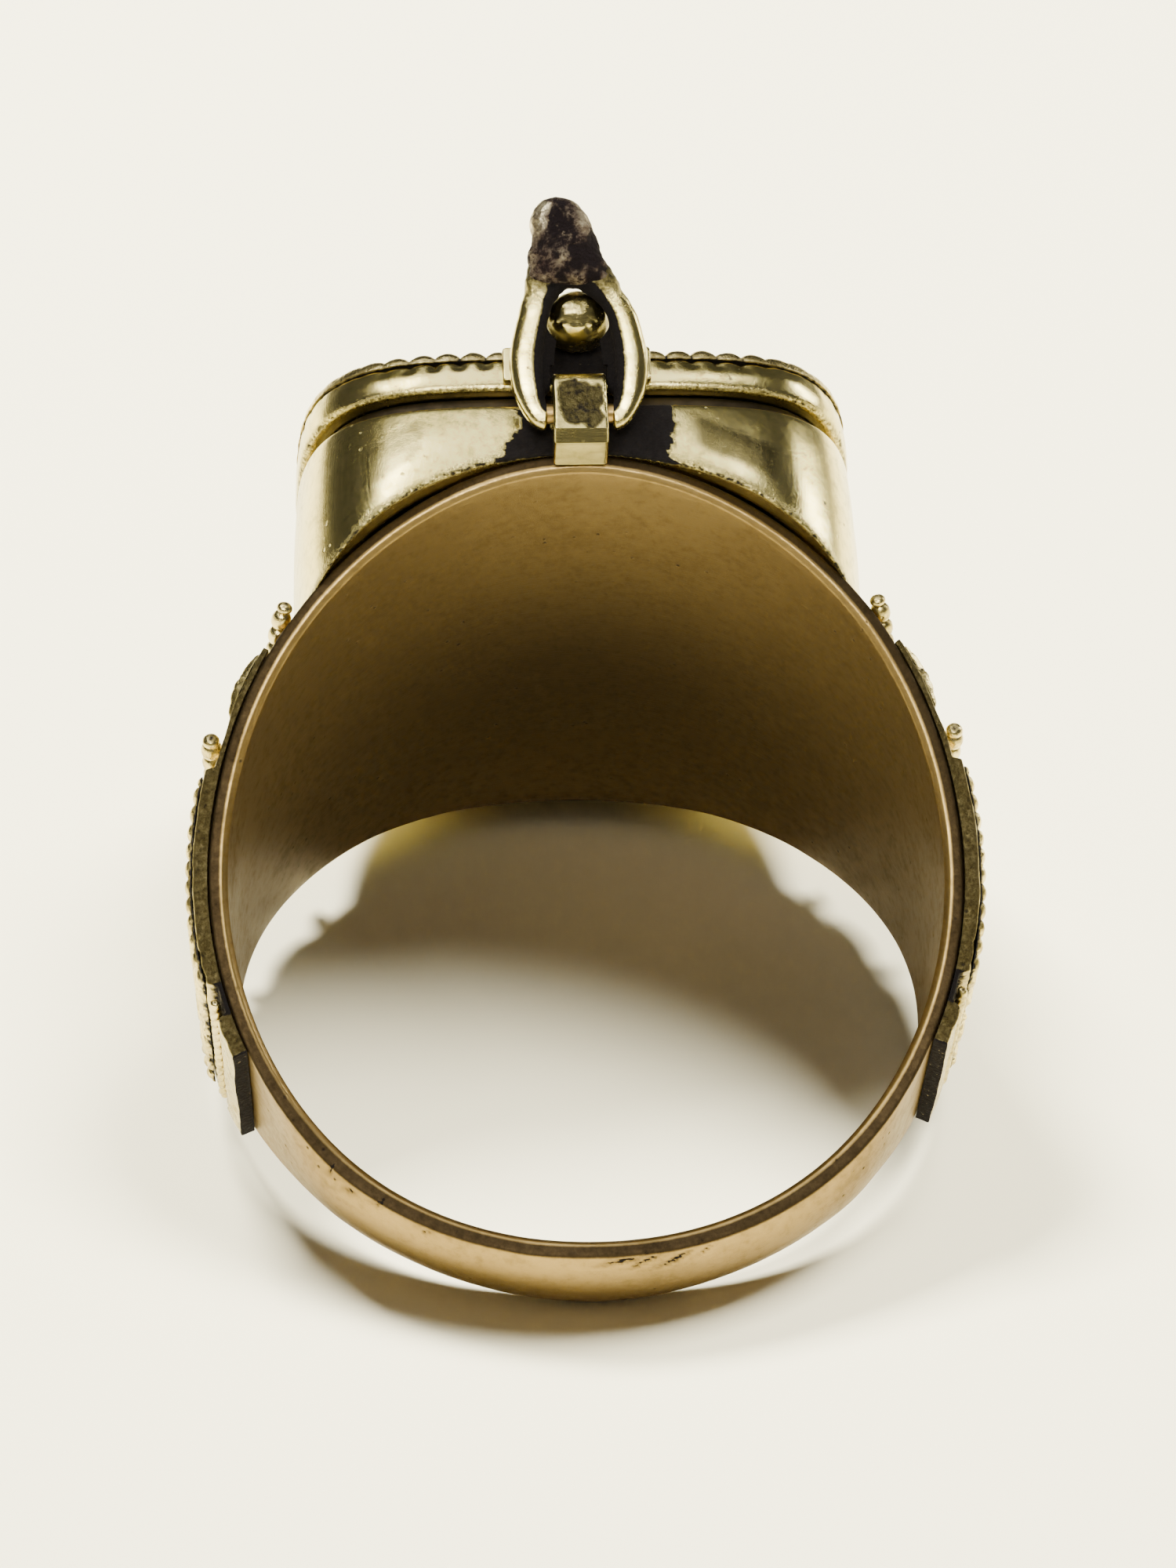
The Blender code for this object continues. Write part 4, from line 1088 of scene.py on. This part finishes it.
def makeBracket():
    # a plate across x, with 24 more rows over its long front face, which bears a rough dark cast skin where
    # |x/a|^3 + |z/b|^3 is below 1 about the skin's middle
    middle = ring["claspPivot"]
    corner = (bracket["front"] + bracket["round"], bracket["top"] - bracket["round"])
    outline = [(bracket["back"], bracket["bottom"]), (bracket["back"], bracket["top"])]
    outline += arcPoints(corner, bracket["round"], 90, 180, 12)
    outline += [
        (bracket["front"], bracket["bottom"] + bracket["chamfer"]),
        (bracket["front"] + bracket["chamfer"], bracket["bottom"]),
    ]
    half = bracket["half"]
    y, z, x = plate(outline, middle, bracket["hole"], -half, half, bracket["edge"], 220, 12)
    points = np.stack([x, y, z], -1)
    flat = np.abs(np.diff(points[..., 0], axis=0)).mean(1)
    jump = int(np.argmax(flat[:-2]))
    share = np.linspace(0, 1, 26)[1:-1, None, None]
    between = points[jump] * (1 - share) + points[jump + 1] * share
    points = np.concatenate([points[: jump + 1], between, points[jump + 1 :]])
    x, y, z = points[..., 0], points[..., 1], points[..., 2]
    facing = ease((-9.72 - y) / 0.25)
    castAt, castWide, castTall = bracket["cast"]
    spread = (np.abs(x) / castWide) ** 3 + (np.abs(z - castAt) / castTall) ** 3
    cast = facing * ease((1 - spread + 0.45 * lumps(points, 0.30, 73, 3)) / 0.30)
    rough = lumps(points, 0.13, 71, 2)
    points = points + np.stack([0 * x, cast * (0.030 + 0.012 * rough), 0 * x], -1)
    points = points + 0.012 * lumps(points, 0.8, 72, 2)[..., None] * np.array([0, 1, 0.4])
    tone = 0.30 * facing + 0.62 * cast
    return patch(points, True, 1.0, np.clip(cast * (0.66 + 0.10 * rough), 0, 1), tone)


def onClasp(x, along, out):
    # a point of the clasp: along its length from the pivot, and out from its plane, away from the lid
    tilt = math.radians(clasp["lean"])
    x = x - clasp["bend"] * np.maximum(0, along - clasp["bendFrom"])
    y = ring["claspPivot"][0] - along * math.sin(tilt) - out * math.cos(tilt)
    z = ring["claspPivot"][1] + along * math.cos(tilt) - out * math.sin(tilt)
    return np.stack(np.broadcast_arrays(x, y, z), -1)


def smoothRoute(points, count):
    # a curve through the points: each step weighs four neighbours (Catmull-Rom)
    points = np.asarray(points, float)
    padded = np.concatenate([[2 * points[0] - points[1]], points, [2 * points[-1] - points[-2]]])
    u = np.linspace(0, len(points) - 1 - 1e-9, count)
    i = u.astype(int)
    t = (u - i)[:, None]
    a, b, c, d = padded[i], padded[i + 1], padded[i + 2], padded[i + 3]
    return 0.5 * (2 * b + (c - a) * t + (2 * a - 5 * b + 4 * c - d) * t**2 + (3 * b - a - 3 * c + d) * t**3)


def makeLoop():
    # a rounded strap carried along the loop's line; it thins towards the pivot and roughens towards the tip
    half = clasp["route"]
    route = smoothRoute([(-x, s) for x, s in half] + [(x, s) for x, s in half[-2::-1]], clasp["steps"])
    ahead = np.gradient(route, axis=0)
    ahead /= np.linalg.norm(ahead, axis=1, keepdims=True)
    aside = np.stack([-ahead[:, 1], ahead[:, 0]], -1)
    turn = np.linspace(0, 2 * np.pi, clasp["sides"], endpoint=False)
    power = 0.72
    u = np.sign(np.cos(turn)) * np.abs(np.cos(turn)) ** power
    v = np.sign(np.sin(turn)) * np.abs(np.sin(turn)) ** power
    along = route[:, 1, None]
    end = np.minimum(np.arange(len(route)), np.arange(len(route))[::-1])[:, None]
    taper = np.sqrt(np.clip(1 - (1 - np.clip(end / 7, 0, 1)) ** 2, 0.05, 1))
    taper = (0.80 + 0.20 * ease(along / 0.7)) * taper
    wide = clasp["strap"] / 2 * taper * (1 + 0.10 * hill(along - 1.4, 0.9))
    wide = wide * (1 + 0.50 * ease((along - 3.1) / 0.7))
    deep = clasp["depth"] / 2 * taper
    web = clasp["web"] * ease((-u - 0.1) / 0.5) * ease((0.15 - v) / 0.6) * ease((along - 0.3) / 0.5)
    web = web * (1 - 0.65 * ease((along - 3.2) / 0.5))
    across = u * wide - web
    x = route[:, 0, None] + across * aside[:, 0, None]
    s = along + across * aside[:, 1, None]
    out = v * deep
    points = onClasp(x, s, out)
    rough = ease((along - 2.5) / 1.0)
    bumps = lumps(points, 0.34, 81, 3)
    wave = lumps(points, 1.1, 82, 2) * 0.018
    grow = 1 + (bumps * 0.11 * rough + wave)
    x = route[:, 0, None] + across * aside[:, 0, None] * grow
    s = along + across * aside[:, 1, None] * grow
    # behind the middle nothing comes nearer the ball than its room
    fromBall = np.hypot(x, s - clasp["ballAt"])
    spread = 1 + (np.maximum(1, clasp["ballRoom"] / fromBall) - 1) * ease((0.3 - v) / 0.2)
    x, s = x * spread, clasp["ballAt"] + (s - clasp["ballAt"]) * spread
    x = np.where(s < clasp["bracketTop"], np.sign(x) * np.maximum(np.abs(x), clasp["bracketRoom"]), x)
    points = onClasp(x, s, out * grow)
    # painted dark reflection: the inner faces of the straps take full patina and most of the darkening share;
    # the top of the loop darkens towards the nub, and the foot by the pivot takes a little patina
    inside = ease((-u * np.ones_like(along) - 0.25) / 0.3)
    stain = np.clip(0.62 * rough + inside + 0.25 * ease((0.15 - along) / 0.3), 0, 1)
    tone = np.clip(0.85 * inside + 0.85 * ease((along - 3.0) / 0.6), 0, 0.9)
    return patch(points, False, np.clip(0.8 + bumps * 0.5 * rough, 0, 1), stain, tone)


def makeNub():
    # an oval stack with a dent in its front, pitted like a rough casting
    rows = np.array(nub["rows"])
    along, wide, deep = np.split(np.clip(smoothRoute(rows, 130), 0.02, None), 3, 1)
    turn = np.linspace(0, 2 * np.pi, 130, endpoint=False)
    x = wide * np.cos(turn)
    out = nub["shift"] + deep * np.sin(turn)
    base = onClasp(x, along, out)
    bumps = lumps(base, 0.42, 91, 4)
    dentX, dentAt, dentWide, dentLong, dentDeep = nub["dent"]
    ridgeX, ridgeAt, ridgeWide, ridgeLong, ridgeHigh = nub["ridge"]
    dent = hill(x - dentX, dentWide) * hill(along - dentAt, dentLong) * ease(np.sin(turn) / 0.5)
    ridge = hill(x - ridgeX, ridgeWide) * hill(along - ridgeAt, ridgeLong) * ease(np.sin(turn) / 0.3)
    grow = 1 + 0.07 * bumps - dentDeep * dent + ridgeHigh * ridge
    points = onClasp(x * grow, along + 0 * x, nub["shift"] + (out - nub["shift"]) * grow)
    # painted highlights: left is the bright left facet near the top and edge the bright right edge; both
    # raise the height share and lower the patina and darkening shares
    left = ease((-x - 0.12 - 0.45 * (5.7 - along)) / 0.12) * ease((along - 4.6) / 0.5)
    edge = ease((x - 0.35 - 0.55 * (5.6 - along)) / 0.15) * (0.4 + bumps)
    relief = np.clip(0.46 + 0.8 * bumps - 0.4 * dent + 0.5 * ridge + 0.8 * left + 0.4 * edge, 0, 1)
    stain = np.clip(0.66 + 0.25 * dent - 0.8 * left - 0.4 * ridge - 0.3 * edge, 0, 1)
    tone = np.clip(0.80 - 1.2 * left - 0.9 * edge - 0.5 * ridge - 0.5 * ease(bumps - 0.2), 0, 0.80)
    return patch(points, False, relief, stain, tone)


def makeStud():
    # a turned profile (radius, y) about the ball's axis: post, then ball with the painted shade of a shallow
    # dimple on its front
    t = np.linspace(math.asin(stud["post"] / stud["radius"]), np.pi * 0.995, 70)
    radius = stud["radius"] * np.sin(t)
    y = stud["y"] + stud["radius"] * np.cos(t)
    radius = np.concatenate([np.full(4, stud["post"]), radius])[:, None]
    y = np.concatenate([np.linspace(stud["back"], y[0], 5)[:-1], y])[:, None]
    turn = np.linspace(0, 2 * np.pi, 120, endpoint=False)
    points = np.stack(np.broadcast_arrays(radius * np.cos(turn), y, radius * np.sin(turn)), -1)
    away = points - np.array([0, stud["y"], 0])
    bumps = 0.030 * lumps(points, 0.55, 101, 2) + 0.010 * lumps(points, 0.2, 102, 2)
    beadRow = 0.03 * hill(radius - 0.74, 0.06) * (np.sin(turn) < 0.1) * np.cos(turn * 9) ** 2
    ball = ease((stud["back"] - 0.06 - y) / 0.05)
    points = np.array([0, stud["y"], 0]) + away * (1 + ball * (bumps + beadRow))[..., None]
    points[..., 2] = stud["z"] + stud["flat"] * points[..., 2]
    stain = hill(y - stud["back"], 0.25) * 0.9 + 0 * turn
    # painted shade of a dimple that the mesh doesn't have, laid into the patina share
    atX, atZ, wide, tall, dark = stud["dimple"]
    dimple = hill(points[..., 0] - atX, wide) * hill(points[..., 2] - stud["z"] - atZ, tall)
    stain = stain + dark * dimple * ball
    # painted dark reflection: the ball darkens towards its rim as seen from the front
    reach = np.hypot(points[..., 0], points[..., 2] - stud["z"]) / stud["radius"]
    tone = 0.75 * ease((reach - 0.72) / 0.20) * ball
    return patch(points, False, 1.0, stain, tone)


def makeCatchPad():
    # a plate across y over a mirrored outline: a broad pad with a narrow tongue up to its tip
    right = [
        (pad["half"], pad["low"]),
        (pad["half"], pad["high"]),
        (pad["tongue"] + pad["slope"], pad["high"]),
        (pad["tongue"], pad["tip"]),
    ]
    outline = right + [(-x, z) for x, z in reversed(right)]
    outline = rounded(np.array(outline), 0.10, 4, 1)
    x, z, y = plate(outline, (0.0, 12.85), 0, pad["front"], pad["back"], 0.05, 260, 16)
    points = np.stack([x, y, z], -1)
    front = ease((pad["back"] - 0.1 - y) / 0.05)
    points = points + front[..., None] * np.array([0, 0.012, 0]) * lumps(points, 0.6, 111, 3)[..., None]
    behind = ease((1.62 - np.abs(x)) / 0.25)
    return patch(points, False, 1.0 - behind, behind)


pivotPin = rod(ring["claspPivot"], bracket["pin"], bracket["pinHalf"], 0.06)
makePiece("clasp_bracket", "band", "polished_brass", makeBracket())
makePiece("clasp_pivot_pin", "band", "satin_brass", pivotPin)
makePiece("clasp_loop", "clasp", "polished_brass", makeLoop())
makePiece("thumb_nub", "clasp", "fire_scaled_brass", makeNub(), 60)
makePiece("catch_pad", "lid", "polished_brass", makeCatchPad())
makePiece("catch_stud", "lid", "polished_brass", makeStud(), 60)
print("pieces made")


floorValues = {"half": 2.0, "drop": 0.00001, "colour": (0.88, 0.83, 0.60)}


def makeFloor():
    # one square just below the ring
    half, drop = floorValues["half"], floorValues["drop"]
    mesh = bpy.data.meshes.new("floor")
    corners = [(-half, -half, -drop), (half, -half, -drop), (half, half, -drop), (-half, half, -drop)]
    mesh.from_pydata(corners, [], [(0, 1, 2, 3)])
    floor = bpy.data.objects.new("floor", mesh)
    bpy.context.scene.collection.objects.link(floor)
    paint = Paint(bpy.data.materials.new("floorCloth"))
    shader = paint.node(
        "ShaderNodeBsdfPrincipled",
        None,
        {"Base Color": (*floorValues["colour"], 1), "Roughness": 0.75, "Specular IOR Level": 0.2},
    )
    paint.node("ShaderNodeOutputMaterial", None, {0: shader})
    mesh.materials.append(paint.owner)


# name, place, aim, size, power, colour, and whether it lights plain surfaces and shows in polished ones
lamps = [
    ("keyBack", (-0.090, 0.125, 0.255), (0, 0, 0.005), (0.075, 0.075), 3.6, (1.0, 0.97, 0.89), True, False),
    ("keyRight", (0.100, 0.045, 0.265), (0, 0, 0.005), (0.11, 0.11), 2.6, (1.0, 0.97, 0.89), True, False),
    ("softAbove", (-0.030, 0.050, 0.280), (0, 0, 0.01), (0.15, 0.18), 0.23, (1.0, 0.98, 0.92), False, True),
    ("softLeft", (-0.100, 0.030, 0.250), (0, 0, 0.01), (0.07, 0.05), 0.22, (1.0, 0.98, 0.92), False, True),
    ("softTop", (0.075, 0.025, 0.270), (0, 0, 0.01), (0.03, 0.05), 0.05, (1.0, 0.98, 0.92), False, True),
    ("softRight", (0.200, 0.080, 0.100), (0, 0, 0.01), (0.05, 0.10), 0.24, (1.0, 0.98, 0.92), False, True),
    ("softFront", (-0.030, -0.170, 0.240), (0, 0, 0.01), (0.13, 0.10), 0.9, (1.0, 0.97, 0.90), False, True),
]


def makeLamp(name, place, aim, size, power, colour, onPlain, inPolish):
    light = bpy.data.lights.new(name, "AREA")
    light.shape = "RECTANGLE"
    light.size, light.size_y = size
    light.energy = power
    light.color = colour
    lamp = bpy.data.objects.new(name, light)
    lamp.location = place
    lamp.rotation_euler = (Vector(aim) - Vector(place)).to_track_quat("-Z", "Y").to_euler()
    lamp.visible_diffuse = onPlain
    lamp.visible_glossy = inPolish
    bpy.context.scene.collection.objects.link(lamp)


# brightness by height, from the horizon at 0 to straight up at 1
sky = {
    "strength": 0.36,
    "tint": (1.0, 0.985, 0.95),
    "stops": [(0.0, 1.0), (0.10, 0.55), (0.25, 0.22), (0.75, 0.18), (0.92, 0.28), (1.0, 0.40)],
}


def makeSky():
    # a soft room: pale above, with broad darker places that polished metal mirrors
    world = bpy.data.worlds.new("studio")
    bpy.context.scene.world = world
    paint = Paint(world)
    split = paint.node("ShaderNodeSeparateXYZ", None, {0: paint.node("ShaderNodeTexCoord")})
    height = Flow(paint, split.socket.node.outputs[2])
    stops = [(position, tuple(value * share for share in sky["tint"])) for position, value in sky["stops"]]
    ramp = paint.node("ShaderNodeValToRGB", {"stops": stops}, {0: height})
    background = paint.node("ShaderNodeBackground", None, {0: ramp, "Strength": sky["strength"]})
    paint.node("ShaderNodeOutputWorld", None, {0: background})


camera = {
    "place": (-4.52, -94.3, -50.73),
    "towards": (0.044, 0.860, 0.508),
    "up": (0.015, -0.509, 0.861),
    "lens": 90.0,
    "sensor": 36.0,
}


def makeCamera():
    # the place and directions are in the ring's own frame
    turn = np.array([[1.0, 0, 0], fingerAxis, headAxis])
    towards = Vector(np.array(camera["towards"]) @ turn).normalized()
    up = Vector(np.array(camera["up"]) @ turn)
    right = towards.cross(up).normalized()
    up = right.cross(towards)
    holder = bpy.data.objects.new("camera", bpy.data.cameras.new("camera"))
    axes = Matrix((right, up, -towards)).transposed().to_4x4()
    holder.matrix_world = Matrix.Translation(Vector(toRow(np.array(camera["place"])))) @ axes
    holder.data.lens = camera["lens"]
    holder.data.sensor_width = camera["sensor"]
    holder.data.clip_start, holder.data.clip_end = 0.002, 5.0
    bpy.context.scene.collection.objects.link(holder)
    bpy.context.scene.camera = holder


makeFloor()
makeSky()
for lamp in lamps:
    makeLamp(*lamp)
makeCamera()
print("studio made")
